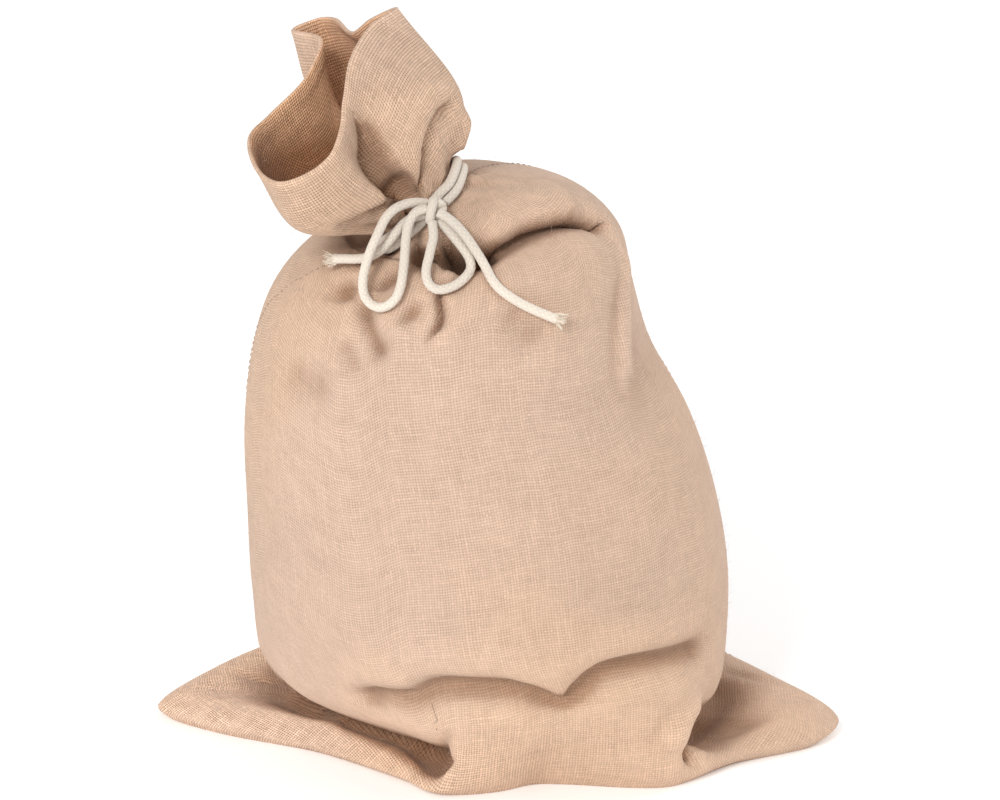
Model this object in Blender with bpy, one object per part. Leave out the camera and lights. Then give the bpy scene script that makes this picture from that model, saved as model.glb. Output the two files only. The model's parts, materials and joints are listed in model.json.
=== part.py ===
"""A burlap sack, filled, standing on its sewn bottom, gathered at the neck and tied with a cotton cord.

The sack is one surface laid out in columns, which run up the cloth, and rows, which run round it.
Every row is a closed line worked out from a short table: first on the floor, then round the two
ears and the rolled front edge, up the body, over the shoulders, through the neck, out along the
flare of the mouth, over the hem and back down inside it. Folds are then pressed into it.

Axes: +Z up, +X along the bottom seam, -Y to the front. Lengths in metres.
"""

import math

import bpy
import numpy as np

# ---------------------------------------------------------------- driving sizes
CLOTH = 0.0024             # thickness of the open mouth's wall, with its yarns standing proud
CORD = 0.0076              # diameter of the cotton cord
GAP = 0.0004               # clearance between pieces that touch
CLOTH_GIVE = 0.0014        # further room that the cloth gives the cord, for the flats of its faces

# Grid of the sack's surface: how many columns go round it, and how many rows each stretch has
COLUMNS = 92
EDGE_ROWS = (0.0, 0.5)                         # each row as a share of the way to the next level
LEVEL_ROWS = (0.0, 0.333, 0.667)
COLLAR_ROWS = (0.0, 0.34, 0.62, 0.84)          # closer together towards the neck
NECK_ROWS = (0.0, 0.5)
MOUTH_ROWS = (0.0, 0.12, 0.28, 0.48, 0.72)
FLARE_ROWS = (0.0, 0.2, 0.4, 0.6, 0.8)
EVEN_STEPS = tuple(step / 12 for step in range(12))

TURN = 2.0 * math.pi

JUTE_COLOUR = (0.60, 0.43, 0.28)
COTTON_COLOUR = (0.86, 0.80, 0.70)
ROUGHNESS = 0.9

# ---------------------------------------------------------------- the base
# One row for each direction in which the base is drawn, going round from the right ear by the
# back, the left ear and the front. turn is the share of the way round at which the direction
# lies, bearing its compass angle, and point how sharply the outline turns there. Each pair is a
# place on the upright line of cloth in that direction, as reach from the middle and height: the
# edge that meets the floor, the top of the ear or roll, the tuck behind it and the wall above.
BASE_DIRECTIONS = [
    # name             turn  bearing point  edge           crest           tuck            wall
    ("right ear",      0.000, 1.5, 0.30, (0.295, 0.010), (0.276, 0.027), (0.190, 0.032), (0.194, 0.062)),
    ("right ear back", 0.045, 12.0, 0.3, (0.266, 0.010), (0.244, 0.030), (0.186, 0.040), (0.194, 0.076)),
    ("right back",     0.095, 28.0, 0.0, (0.222, 0.012), (0.208, 0.036), (0.184, 0.048), (0.190, 0.082)),
    ("back right",     0.165, 58.0, 0.0, (0.170, 0.016), (0.172, 0.044), (0.162, 0.060), (0.170, 0.095)),
    ("back",           0.250, 90.0, 0.0, (0.156, 0.018), (0.168, 0.050), (0.168, 0.075), (0.175, 0.105)),
    ("back left",      0.335, 122.0, 0.0, (0.176, 0.016), (0.174, 0.044), (0.164, 0.060), (0.176, 0.095)),
    ("left back",      0.405, 152.0, 0.0, (0.246, 0.012), (0.218, 0.034), (0.190, 0.046), (0.202, 0.080)),
    ("left ear back",  0.455, 167.0, 0.3, (0.276, 0.009), (0.248, 0.026), (0.194, 0.040), (0.206, 0.076)),
    ("left ear",       0.500, 181.0, 0.35, (0.297, 0.009), (0.281, 0.022), (0.194, 0.034), (0.207, 0.075)),
    ("left ear side",  0.536, 189.3, 0.2, (0.247, 0.009), (0.222, 0.026), (0.178, 0.033), (0.199, 0.069)),
    ("left ear front", 0.585, 204.0, 0.2, (0.176, 0.009), (0.164, 0.030), (0.148, 0.031), (0.179, 0.059)),
    ("hollow",         0.665, 240.0, 0.0, (0.148, 0.009), (0.136, 0.022), (0.117, 0.024), (0.160, 0.064)),
    ("hollow end",     0.698, 253.0, 0.0, (0.158, 0.007), (0.151, 0.018), (0.128, 0.027), (0.161, 0.063)),
    ("front roll",     0.722, 262.0, 0.0, (0.155, 0.010), (0.156, 0.026), (0.158, 0.050), (0.165, 0.082)),
    ("roll",           0.745, 274.0, 0.0, (0.146, 0.012), (0.157, 0.042), (0.162, 0.062), (0.166, 0.086)),
    ("front",          0.780, 290.0, 0.0, (0.136, 0.014), (0.152, 0.042), (0.160, 0.064), (0.166, 0.088)),
    ("front right",    0.870, 322.0, 0.2, (0.200, 0.014), (0.204, 0.044), (0.200, 0.064), (0.198, 0.090)),
    ("right ear front", 0.925, 342.0, 0.2, (0.226, 0.009), (0.203, 0.024), (0.174, 0.030), (0.194, 0.060)),
    ("right ear side", 0.968, 353.6, 0.2, (0.280, 0.010), (0.256, 0.027), (0.184, 0.031), (0.194, 0.061)),
]
UNDER_SHARES = (0.0, 0.45, 0.80)     # rows on the floor, as shares of the edge's reach
EDGE_INSET = 0.010                   # the flat underside stops this far inside the edge

# ---------------------------------------------------------------- the body
# One row for each level of the body: heights at the right, back, left and front, then how far it
# reaches to the right, left, front and back, and how square its outline is (2 is an ellipse).
BODY_LEVELS = [
    # name            z_right z_back z_left z_front  right   left   front   back   square
    ("low",            0.140, 0.150, 0.140, 0.145,   0.197, -0.210, -0.176, 0.180, 2.3),
    ("belly",          0.210, 0.220, 0.210, 0.215,   0.186, -0.212, -0.180, 0.183, 2.3),
    ("waist",          0.280, 0.285, 0.285, 0.285,   0.163, -0.213, -0.176, 0.181, 2.25),
    ("chest",          0.345, 0.345, 0.350, 0.345,   0.128, -0.205, -0.164, 0.175, 2.2),
    ("shoulder",       0.400, 0.400, 0.395, 0.392,   0.112, -0.190, -0.148, 0.160, 2.2),
    ("upper shoulder", 0.448, 0.448, 0.428, 0.428,   0.101, -0.163, -0.126, 0.132, 2.1),
    ("crown",          0.484, 0.482, 0.446, 0.452,   0.066, -0.130, -0.106, 0.090, 2.0),
    ("collar",         0.502, 0.493, 0.444, 0.454,   0.010, -0.113, -0.098, 0.025, 2.1),
]

# ---------------------------------------------------------------- the neck and the mouth
# One row for each line of cloth that fans out from the tied neck: the places where it leaves the
# neck, passes the middle of the flare and ends at the hem.
FLARE_LINES = [
    # name            turn   neck                     middle                   hem
    ("corner",         0.00, (-0.030, -0.043, 0.514), (-0.026, -0.030, 0.566), (-0.080, -0.018, 0.640)),
    ("right back",     0.06, (-0.034, -0.034, 0.509), (-0.048, 0.010, 0.577), (-0.104, 0.015, 0.623)),
    ("notch",          0.11, (-0.038, -0.027, 0.503), (-0.075, 0.034, 0.570), (-0.123, 0.041, 0.605)),
    ("far fold right", 0.17, (-0.042, -0.021, 0.498), (-0.108, 0.056, 0.558), (-0.141, 0.078, 0.607)),
    ("far fold",       0.23, (-0.053, -0.021, 0.491), (-0.139, 0.060, 0.548), (-0.160, 0.093, 0.601)),
    ("far fold left",  0.28, (-0.062, -0.025, 0.485), (-0.156, 0.043, 0.543), (-0.177, 0.059, 0.600)),
    ("inner ridge",    0.34, (-0.070, -0.032, 0.478), (-0.136, 0.020, 0.548), (-0.150, 0.022, 0.602)),
    ("back",           0.42, (-0.079, -0.041, 0.471), (-0.136, -0.001, 0.526), (-0.160, 0.002, 0.573)),
    ("left back",      0.48, (-0.086, -0.053, 0.464), (-0.140, -0.024, 0.508), (-0.186, -0.026, 0.549)),
    ("left tip",       0.54, (-0.089, -0.066, 0.460), (-0.156, -0.058, 0.490), (-0.198, -0.066, 0.540)),
    ("lobe left",      0.59, (-0.086, -0.077, 0.459), (-0.160, -0.098, 0.482), (-0.186, -0.108, 0.526)),
    ("lobe",           0.64, (-0.080, -0.085, 0.464), (-0.147, -0.122, 0.481), (-0.165, -0.137, 0.524)),
    ("lobe right",     0.70, (-0.071, -0.087, 0.472), (-0.122, -0.131, 0.497), (-0.139, -0.147, 0.535)),
    ("lobe edge",      0.75, (-0.062, -0.088, 0.480), (-0.099, -0.122, 0.519), (-0.121, -0.142, 0.549)),
    ("valley",         0.79, (-0.055, -0.087, 0.487), (-0.097, -0.099, 0.529), (-0.114, -0.126, 0.565)),
    ("flap left",      0.84, (-0.047, -0.084, 0.494), (-0.083, -0.103, 0.557), (-0.113, -0.108, 0.589)),
    ("flap",           0.90, (-0.037, -0.077, 0.501), (-0.065, -0.096, 0.577), (-0.111, -0.081, 0.613)),
    ("flap right",     0.95, (-0.032, -0.064, 0.507), (-0.044, -0.069, 0.579), (-0.099, -0.048, 0.631)),
]


# ---------------------------------------------------------------- folds
# One row for each fold pressed into the cloth. depth is how far it goes in, or out where it is
# negative. left and right are its half widths on either side of its route, seen from outside by
# someone who follows it, and lap is how far the lip on the left is pushed over the fold. crisp is
# 2 for a soft hollow and nearer 1 for a sharp crease. fade is the share of the route at each end
# over which it dies out. The route is in the cloth's own terms: the share of the way round, and
# the level, which counts the rings from the foot at 0 to the hem.
FOLDS = [
    # name             depth   left   right  lap    crisp  fade  route
    ("front crease",    0.014, 0.008, 0.015, 0.002, 1.7, 0.08,
     ((0.641, 4.02), (0.650, 4.24), (0.668, 4.36), (0.692, 4.42), (0.722, 4.47), (0.747, 4.46),
      (0.765, 4.35), (0.777, 4.18), (0.787, 4.03), (0.797, 4.24), (0.814, 4.52), (0.829, 4.64),
      (0.853, 4.69), (0.889, 4.71), (0.935, 4.74))),
    ("front overhang", -0.004, 0.024, 0.014, 0.000, 2.0, 0.25,
     ((0.650, 4.78), (0.700, 4.86), (0.745, 4.91), (0.786, 4.66), (0.830, 5.03), (0.930, 4.98))),
    ("front roll",     -0.006, 0.014, 0.022, 0.000, 2.0, 0.20,
     ((0.680, 3.70), (0.745, 3.90), (0.775, 3.62), (0.800, 3.70), (0.840, 4.05), (0.900, 4.00))),
    ("crease glint",   -0.004, 0.005, 0.008, 0.000, 2.0, 0.30,
     ((0.770, 3.88), (0.784, 3.81), (0.796, 3.89), (0.808, 4.11))),
    ("shoulder lip",    0.026, 0.006, 0.018, 0.011, 1.5, 0.10,
     ((0.757, 11.80), (0.781, 11.79), (0.810, 11.79), (0.832, 11.71), (0.858, 11.61), (0.886, 11.48),
      (0.911, 11.30), (0.938, 11.09), (0.969, 10.80), (0.985, 10.50), (0.994, 10.25))),
    ("shoulder swell", -0.009, 0.024, 0.010, 0.000, 2.0, 0.20,
     ((0.800, 12.11), (0.832, 11.98), (0.881, 11.78), (0.930, 11.44), (0.985, 10.96))),
    ("knot pit",        0.030, 0.009, 0.012, 0.003, 1.8, 0.25,
     ((0.787, 12.30), (0.800, 12.10), (0.815, 11.90), (0.835, 11.80), (0.860, 11.70))),
    ("loop ridge",     -0.008, 0.006, 0.006, 0.000, 2.0, 0.25,
     ((0.790, 12.45), (0.780, 12.10), (0.766, 11.60), (0.752, 11.00), (0.745, 10.40))),
    ("narrow tuck",     0.014, 0.0025, 0.0035, 0.002, 1.9, 0.25,
     ((0.743, 10.50), (0.742, 10.15), (0.747, 9.80), (0.750, 9.52), (0.747, 9.34), (0.742, 9.15))),
    ("left pit",        0.016, 0.009, 0.010, 0.000, 2.0, 0.30,
     ((0.748, 12.35), (0.746, 12.05), (0.741, 11.70), (0.735, 11.30))),
    ("dimple",          0.010, 0.014, 0.012, 0.000, 1.8, 0.35,
     ((0.634, 10.30), (0.640, 9.98), (0.645, 9.62))),
    ("valley",          0.011, 0.011, 0.007, 0.001, 1.6, 0.25,
     ((0.668, 10.05), (0.675, 9.67), (0.688, 9.36), (0.696, 9.19), (0.706, 8.95), (0.713, 8.66))),
    ("short valley",    0.011, 0.006, 0.009, 0.001, 1.6, 0.30,
     ((0.672, 10.00), (0.677, 10.35), (0.686, 10.75), (0.700, 11.00))),
    ("small valley",    0.007, 0.007, 0.007, 0.000, 1.8, 0.35,
     ((0.730, 9.95), (0.722, 9.70), (0.714, 9.45))),
    ("left trough",     0.006, 0.020, 0.022, 0.000, 2.0, 0.35,
     ((0.600, 8.35), (0.640, 8.20), (0.680, 8.10))),
    ("upper trough",    0.006, 0.012, 0.014, 0.000, 2.0, 0.35,
     ((0.664, 9.25), (0.679, 8.86), (0.700, 8.50))),
    ("right trough",    0.006, 0.018, 0.022, 0.000, 2.0, 0.35,
     ((0.795, 10.00), (0.821, 9.36), (0.842, 8.80))),
    ("right edge",     -0.007, 0.016, 0.007, 0.000, 2.0, 0.25,
     ((0.990, 10.10), (0.968, 9.60), (0.952, 9.12), (0.929, 8.50), (0.915, 7.80))),
    ("left tuck",       0.017, 0.007, 0.009, 0.009, 1.5, 0.25,
     ((0.440, 3.10), (0.490, 3.10), (0.530, 3.08), (0.560, 3.05), (0.595, 3.02))),
    ("hollow lip",      0.006, 0.006, 0.010, 0.006, 1.5, 0.12,
     ((0.586, 2.95), (0.615, 3.00), (0.641, 3.05), (0.665, 3.05), (0.687, 3.05), (0.702, 2.93),
      (0.712, 2.70), (0.718, 2.42), (0.721, 2.12))),
    ("left hollow",     0.007, 0.010, 0.012, 0.000, 2.0, 0.28,
     ((0.652, 2.85), (0.676, 2.60), (0.694, 2.40), (0.707, 2.20), (0.714, 2.00))),
    ("left ear crease", 0.006, 0.003, 0.006, 0.001, 1.5, 0.25,
     ((0.466, 2.30), (0.474, 2.54), (0.481, 2.75), (0.486, 2.96))),
    ("right ear crease", 0.003, 0.004, 0.004, 0.000, 1.7, 0.30,
     ((0.055, 2.75), (0.046, 2.46), (0.035, 2.33), (0.025, 2.20))),
    ("right tuck",      0.014, 0.006, 0.012, 0.004, 1.5, 0.12,
     ((0.892, 0.95), (0.880, 1.30), (0.877, 1.65), (0.884, 2.12), (0.903, 2.60), (0.940, 2.95),
      (0.990, 3.05), (1.050, 3.05))),
    ("right hollow",    0.009, 0.016, 0.016, 0.000, 2.0, 0.35,
     ((0.888, 1.20), (0.897, 1.65), (0.915, 2.00), (0.950, 2.35), (0.990, 2.65))),
    ("roll end",       -0.010, 0.012, 0.010, 0.000, 2.0, 0.30,
     ((0.862, 1.60), (0.866, 2.40), (0.885, 3.40), (0.905, 4.10))),
    ("lobe edge",       0.013, 0.005, 0.014, 0.006, 1.4, 0.30,
     ((0.770, 13.00), (0.771, 13.35), (0.774, 13.65), (0.778, 13.88), (0.788, 14.10), (0.802, 14.28),
      (0.816, 14.50), (0.830, 14.74), (0.838, 14.98))),
    ("lobe hollow",     0.012, 0.009, 0.013, 0.000, 2.0, 0.25,
     ((0.772, 13.10), (0.779, 13.40), (0.785, 13.72))),
    ("lobe under",      0.009, 0.004, 0.013, 0.004, 1.4, 0.25,
     ((0.672, 13.80), (0.690, 13.76), (0.704, 13.72), (0.714, 13.69), (0.723, 13.63), (0.731, 13.57),
      (0.738, 13.51), (0.743, 13.44))),
    ("lobe pit",        0.008, 0.007, 0.007, 0.000, 2.0, 0.30,
     ((0.716, 13.42), (0.730, 13.34), (0.744, 13.26), (0.757, 13.18))),
    ("flap pocket",     0.011, 0.005, 0.014, 0.005, 1.4, 0.20,
     ((0.823, 13.22), (0.851, 13.43), (0.869, 13.55), (0.897, 13.63), (0.918, 13.72), (0.936, 13.82),
      (0.956, 13.92), (0.985, 14.05))),
    ("flap ridge",     -0.005, 0.008, 0.005, 0.000, 2.0, 0.30,
     ((0.805, 13.25), (0.834, 13.46), (0.856, 13.60), (0.882, 13.72))),
    ("flap bulge",     -0.009, 0.014, 0.016, 0.000, 2.0, 0.35,
     ((1.012, 13.15), (1.012, 13.45), (1.008, 13.75), (1.004, 13.95))),
]

# Pleats gathered by the tie: how many, how deep, and how far along the cloth they run
PLEATS = 13
PLEAT_DEPTH = 0.0045
PLEAT_DRIFT = 0.55                   # how unevenly they are spaced, in radians of their wave
PLEAT_RUN_BODY = 2.2                 # levels over which they die out below the neck
PLEAT_RUN_MOUTH = 1.0                # and above it
PLEAT_CENTRE = 0.42                  # the turn at which they are deepest
PLEAT_WEAKEST = 0.35                 # their share of that depth opposite

BLUNTEST_FOLD = 0.009                # least half width of a fold, so that the grid can take it

NECK_LEVEL = 13
NECK_HALF = 0.008                    # half the height of the neck, where the cord grips it
NECK_REACH = 0.2                     # levels that this takes up
TIED_LEVELS = (8.5, 14.2)            # the levels that the cord lies against
GROOVE_WIDTH = 1.7                   # half width of the hollow that it presses, in its radii
LINING_LEVEL = 13.4                  # where the gathered cloth closes the mouth


# ---------------------------------------------------------------- the tie
# The cord goes twice round the neck, starting and ending under the knot, where its first turn
# crosses over to lie beside the second.
WRAP_PITCH = CORD + GAP              # from one turn to the next, along the neck
WRAP_LIFT = 0.0036                   # how far its middle stands off the smooth cloth of the neck
WRAP_START = -0.125                  # where it comes out from under the knot, right of it
WRAP_END = 1.765                     # and where it goes back under it, left of it, in turns
WRAP_CROSSING = (0.765, 0.875)       # the turns between which it crosses over
WRAP_STEP = 0.0065                   # spacing of the places that its line is drawn through

KNOT_CENTRE = (-0.0459, -0.1005, 0.4945)
KNOT_LEFT, KNOT_RIGHT = 0.0046, 0.0120  # its half widths, from the strand that binds it
KNOT_HALF_HEIGHT = 0.0105
KNOT_FRONT, KNOT_BACK = 0.0030, 0.0060  # its half depths beside that strand
KNOT_NOSE = 0.0065                   # how far the strand stands out
KNOT_NOSE_HALF = 0.0046              # half the width of the strand
KNOT_LEAN = 0.18                     # how far the strand leans to the right, as a slope
KNOT_RINGS = 14
KNOT_SIDES = 24

# The places that each free stretch passes, from the knot outwards or round and back to it.
CORD_ROUTES = {
    "bow_loop_left": (
        (-0.0521, -0.0954, 0.4984),
        (-0.0597, -0.0972, 0.4995),
        (-0.0682, -0.1002, 0.4985),
        (-0.0759, -0.1040, 0.4953),
        (-0.0817, -0.1074, 0.4899),
        (-0.0856, -0.1091, 0.4829),
        (-0.0891, -0.1111, 0.4750),
        (-0.0931, -0.1124, 0.4662),
        (-0.0963, -0.1132, 0.4571),
        (-0.0988, -0.1139, 0.4481),
        (-0.1003, -0.1155, 0.4393),
        (-0.0998, -0.1180, 0.4308),
        (-0.0966, -0.1216, 0.4245),
        (-0.0906, -0.1256, 0.4209),
        (-0.0839, -0.1284, 0.4207),
        (-0.0774, -0.1294, 0.4241),
        (-0.0722, -0.1281, 0.4297),
        (-0.0693, -0.1248, 0.4371),
        (-0.0680, -0.1203, 0.4449),
        (-0.0671, -0.1161, 0.4536),
        (-0.0666, -0.1121, 0.4633),
        (-0.0660, -0.1090, 0.4732),
        (-0.0645, -0.1074, 0.4820),
        (-0.0617, -0.1063, 0.4892),
        (-0.0574, -0.1050, 0.4943),
        (-0.0522, -0.1042, 0.4961),
    ),
    "bow_loop_right": (
        (-0.0450, -0.1049, 0.4839),
        (-0.0440, -0.1079, 0.4750),
        (-0.0458, -0.1108, 0.4659),
        (-0.0476, -0.1139, 0.4576),
        (-0.0490, -0.1173, 0.4511),
        (-0.0487, -0.1207, 0.4446),
        (-0.0457, -0.1235, 0.4389),
        (-0.0400, -0.1244, 0.4355),
        (-0.0330, -0.1227, 0.4357),
        (-0.0254, -0.1187, 0.4379),
        (-0.0186, -0.1135, 0.4424),
        (-0.0144, -0.1075, 0.4479),
        (-0.0154, -0.1049, 0.4555),
        (-0.0203, -0.1035, 0.4633),
        (-0.0260, -0.1025, 0.4704),
        (-0.0317, -0.1015, 0.4771),
        (-0.0382, -0.1004, 0.4846),
    ),
    "tail_left": (
        (-0.0528, -0.0980, 0.4898),
        (-0.0605, -0.0977, 0.4871),
        (-0.0677, -0.0988, 0.4831),
        (-0.0736, -0.1010, 0.4765),
        (-0.0793, -0.1014, 0.4690),
        (-0.0855, -0.1001, 0.4617),
        (-0.0930, -0.0986, 0.4556),
        (-0.1006, -0.0962, 0.4518),
        (-0.1091, -0.0923, 0.4495),
        (-0.1177, -0.0885, 0.4483),
        (-0.1275, -0.0845, 0.4467),
    ),
    "tail_right": (
        (-0.0375, -0.1069, 0.4932),
        (-0.0316, -0.1068, 0.4892),
        (-0.0244, -0.1066, 0.4826),
        (-0.0177, -0.1064, 0.4743),
        (-0.0117, -0.1060, 0.4651),
        (-0.0061, -0.1062, 0.4561),
        (-0.0011, -0.1089, 0.4479),
        (0.0041, -0.1157, 0.4412),
        (0.0105, -0.1204, 0.4354),
        (0.0183, -0.1226, 0.4302),
        (0.0264, -0.1228, 0.4252),
        (0.0360, -0.1233, 0.4205),
        (0.0464, -0.1231, 0.4160),
        (0.0560, -0.1228, 0.4119),
    ),
}
TAILS = ("tail_left", "tail_right")
TUFT_SPREAD = 1.35                   # how much wider than the cord it ends
CORD_STEP = 0.0055                   # spacing of the places that a cord is drawn through


# ---------------------------------------------------------------- curves
def ring_spline(turns, places, tension, columns):
    """Places on a closed smooth curve through the given ones, at evenly spaced turns."""
    turns = np.asarray(turns, float)
    places = np.asarray(places, float)
    slack = 1.0 - np.asarray(tension, float)[:, None]
    ahead = np.roll(turns, -1)
    ahead[-1] += 1.0
    behind = np.roll(turns, 1)
    behind[0] -= 1.0
    slopes = slack * (np.roll(places, -1, 0) - np.roll(places, 1, 0)) / (ahead - behind)[:, None]
    wanted = np.arange(columns) / columns
    index = np.searchsorted(turns, wanted, side="right") - 1
    span = (ahead - turns)[index][:, None]
    share = (wanted - turns[index])[:, None] / span
    following = (index + 1) % len(turns)
    return hermite(places[index], slopes[index] * span, places[following], slopes[following] * span, share)


def hermite(start, start_slope, end, end_slope, share):
    """The cubic between two places that leaves and arrives along the given slopes."""
    square, cube = share**2, share**3
    return (
        (2 * cube - 3 * square + 1) * start
        + (cube - 2 * square + share) * start_slope
        + (3 * square - 2 * cube) * end
        + (cube - square) * end_slope
    )


def loft(rings, stretches):
    """Rows between rings, along smooth lines that pass through every ring.

    stretches[i] lists the rows from ring i to ring i + 1, each as its share of the way, and the
    last ring closes the list.
    """
    rings = np.asarray(rings, float)
    steps = np.sqrt(np.maximum(np.linalg.norm(np.diff(rings, axis=0), axis=2), 1e-6))
    knots = np.concatenate([np.zeros((1, rings.shape[1])), np.cumsum(steps, axis=0)])
    slopes = np.empty_like(rings)
    for i in range(len(rings)):
        low, high = max(i - 1, 0), min(i + 1, len(rings) - 1)
        if low < i < high:
            before = (rings[i] - rings[low]) / (knots[i] - knots[low])[:, None]
            after = (rings[high] - rings[i]) / (knots[high] - knots[i])[:, None]
            weight = ((knots[i] - knots[low]) / (knots[high] - knots[low]))[:, None]
            slopes[i] = before * (1 - weight) + after * weight
        else:
            slopes[i] = (rings[high] - rings[low]) / (knots[high] - knots[low])[:, None]
    rows = []
    for i, shares in enumerate(stretches):
        span = (knots[i + 1] - knots[i])[:, None]
        for share in shares:
            rows.append(hermite(rings[i], slopes[i] * span, rings[i + 1], slopes[i + 1] * span, share))
    rows.append(rings[-1])
    return np.array(rows)


# ---------------------------------------------------------------- the sack's rings
def base_rings(columns):
    """The rings on the floor, then the edge, the crest, the tuck and the wall above it."""
    turns = [row[1] for row in BASE_DIRECTIONS]
    tension = [row[3] for row in BASE_DIRECTIONS]
    rings = []
    for part in range(4, 8):
        places = []
        for row in BASE_DIRECTIONS:
            bearing = math.radians(row[2])
            reach, height = row[part]
            places.append((reach * math.cos(bearing), reach * math.sin(bearing), height))
        sharpness = tension if part < 6 else [0.0] * len(tension)
        rings.append(ring_spline(turns, places, sharpness, columns))
    return rings


def body_ring(level, columns):
    """The closed outline of one level of the body."""
    _, z_right, z_back, z_left, z_front, right, left, front, back, square = level
    angle = TURN * np.arange(columns) / columns
    along, across = np.cos(angle), np.sin(angle)
    bulge = 2.0 / square
    x = (right + left) / 2 + (right - left) / 2 * np.sign(along) * np.abs(along) ** bulge
    y = (front + back) / 2 + (back - front) / 2 * np.sign(across) * np.abs(across) ** bulge
    side = np.where(along > 0, z_right, z_left)
    face = np.where(across > 0, z_back, z_front)
    z = side * along**2 + face * across**2
    return np.stack([x, y, z], axis=1)


def flare_rings(columns):
    """The rings of the neck, of the middle of the flare and of the hem."""
    turns = [row[1] for row in FLARE_LINES]
    smooth = [0.0] * len(turns)
    return [
        ring_spline(turns, [row[part] for row in FLARE_LINES], smooth, columns) for part in (2, 3, 4)
    ]


def neck_axis(neck):
    """The direction in which the neck runs, square to its ring."""
    spokes = neck - neck.mean(axis=0)
    axis = np.cross(spokes, np.roll(spokes, -1, axis=0)).sum(axis=0)
    return axis / np.linalg.norm(axis)


def smooth_sheet(columns, finer):
    """The sack's outside before it is folded: the foot, its rows, and the level of each row."""
    edge, crest, tuck, wall = base_rings(columns)
    reach = np.linalg.norm(edge[:, :2], axis=1, keepdims=True)
    foot = edge * (1 - EDGE_INSET / reach)
    foot[:, 2] = 0.0
    body = [body_ring(level, columns) for level in BODY_LEVELS]
    neck, middle, hem = flare_rings(columns)
    rise = neck_axis(neck) * NECK_HALF
    rings = [foot, edge, crest, tuck, wall] + body + [neck - rise, neck, neck + rise, middle, hem]
    low, high = NECK_LEVEL - NECK_REACH, NECK_LEVEL + NECK_REACH
    ring_levels = [*range(NECK_LEVEL), low, NECK_LEVEL, high, NECK_LEVEL + 1, NECK_LEVEL + 2]
    stretches = [EDGE_ROWS] + [LEVEL_ROWS] * (NECK_LEVEL - 2) + [COLLAR_ROWS]
    stretches += [NECK_ROWS] * 2 + [MOUTH_ROWS, FLARE_ROWS]
    shares, levels = [], []
    for i, rows in enumerate(stretches):
        steps = np.arange(len(rows) * finer) / finer
        shares.append(np.interp(steps, np.arange(len(rows) + 1), (*rows, 1.0)))
        levels.extend(ring_levels[i] + shares[i] * (ring_levels[i + 1] - ring_levels[i]))
    return foot, loft(rings, shares), np.array(levels + ring_levels[-1:])


def outward(sheet):
    """The outward direction at every place of the sheet."""
    round_it = np.roll(sheet, -1, axis=1) - np.roll(sheet, 1, axis=1)
    up_it = np.gradient(sheet, axis=0)
    normal = np.cross(round_it, up_it)
    return normal / np.maximum(np.linalg.norm(normal, axis=2, keepdims=True), 1e-12)


def fold_route(route, sheet, levels, spacing=0.002):
    """Closely spaced places along a fold's route, with their turns and levels."""
    route = np.asarray(route, float)
    rough = loft(np.stack([route, route], axis=1), [EVEN_STEPS] * (len(route) - 1))[:, 0]
    turns, heights = rough[:, 0], rough[:, 1]
    column = (turns % 1.0) * sheet.shape[1]
    row = np.interp(heights, levels, np.arange(len(levels)))
    c0, r0 = np.floor(column).astype(int), np.minimum(np.floor(row).astype(int), len(levels) - 2)
    u, v = (column - c0)[:, None], (row - r0)[:, None]
    c0 %= sheet.shape[1]
    c1 = (c0 + 1) % sheet.shape[1]
    line = (sheet[r0, c0] * (1 - u) + sheet[r0, c1] * u) * (1 - v)
    line += (sheet[r0 + 1, c0] * (1 - u) + sheet[r0 + 1, c1] * u) * v
    length = np.concatenate([[0.0], np.cumsum(np.linalg.norm(np.diff(line, axis=0), axis=1))])
    wanted = np.linspace(0.0, length[-1], max(int(length[-1] / spacing), 8))
    even = [np.interp(wanted, length, values) for values in (*line.T, turns, heights)]
    return np.stack(even[:3], axis=1), even[3], even[4]


def fade_in(share):
    """0 at 0 and 1 at 1 and beyond, with no corner."""
    share = np.clip(share, 0.0, 1.0)
    return share * share * (3.0 - 2.0 * share)


def press_folds(sheet, levels, folds, bluntest):
    """The sheet with every fold of the table pressed into it, none narrower than bluntest."""
    normal = outward(sheet)
    flat, flat_normal = sheet.reshape(-1, 3), normal.reshape(-1, 3)
    level = np.repeat(levels, sheet.shape[1])
    turn = np.tile(np.arange(sheet.shape[1]) / sheet.shape[1], len(levels))
    shift = np.zeros_like(flat)
    for _, depth, left, right, lap, crisp, fade, route in folds:
        left, right = max(left, bluntest), max(right, bluntest)
        line, line_turn, line_level = fold_route(route, sheet, levels)
        reach = 3.0 * max(left, right)
        near = np.all((flat > line.min(0) - reach) & (flat < line.max(0) + reach), axis=1)
        near &= (level > line_level.min() - 1.6) & (level < line_level.max() + 1.6)
        near = np.flatnonzero(near)
        if not len(near):
            continue
        apart = np.linalg.norm(flat[near, None, :] - line[None, :, :], axis=2)
        closest = apart.argmin(axis=1)
        round_gap = np.abs((turn[near] - line_turn[closest] + 0.5) % 1.0 - 0.5)
        along = np.gradient(line, axis=0)[closest]
        side = np.cross(flat_normal[near], along)
        side /= np.maximum(np.linalg.norm(side, axis=1, keepdims=True), 1e-12)
        offset = flat[near] - line[closest]
        signed = apart[np.arange(len(near)), closest] * np.sign(np.sum(offset * side, axis=1))
        width = np.where(signed > 0, left, right)
        share = closest / (len(line) - 1)
        strength = fade_in(share / fade) * fade_in((1 - share) / fade) * (round_gap < 0.2)
        across = np.abs(signed) / width
        lip = np.where(signed > 0, across * np.exp(1 - across), 0.0)
        shift[near] -= flat_normal[near] * (depth * np.exp(-(across**crisp)) * strength)[:, None]
        shift[near] -= side * (lap * lip * strength)[:, None]
    return (flat + shift).reshape(sheet.shape)


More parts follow.
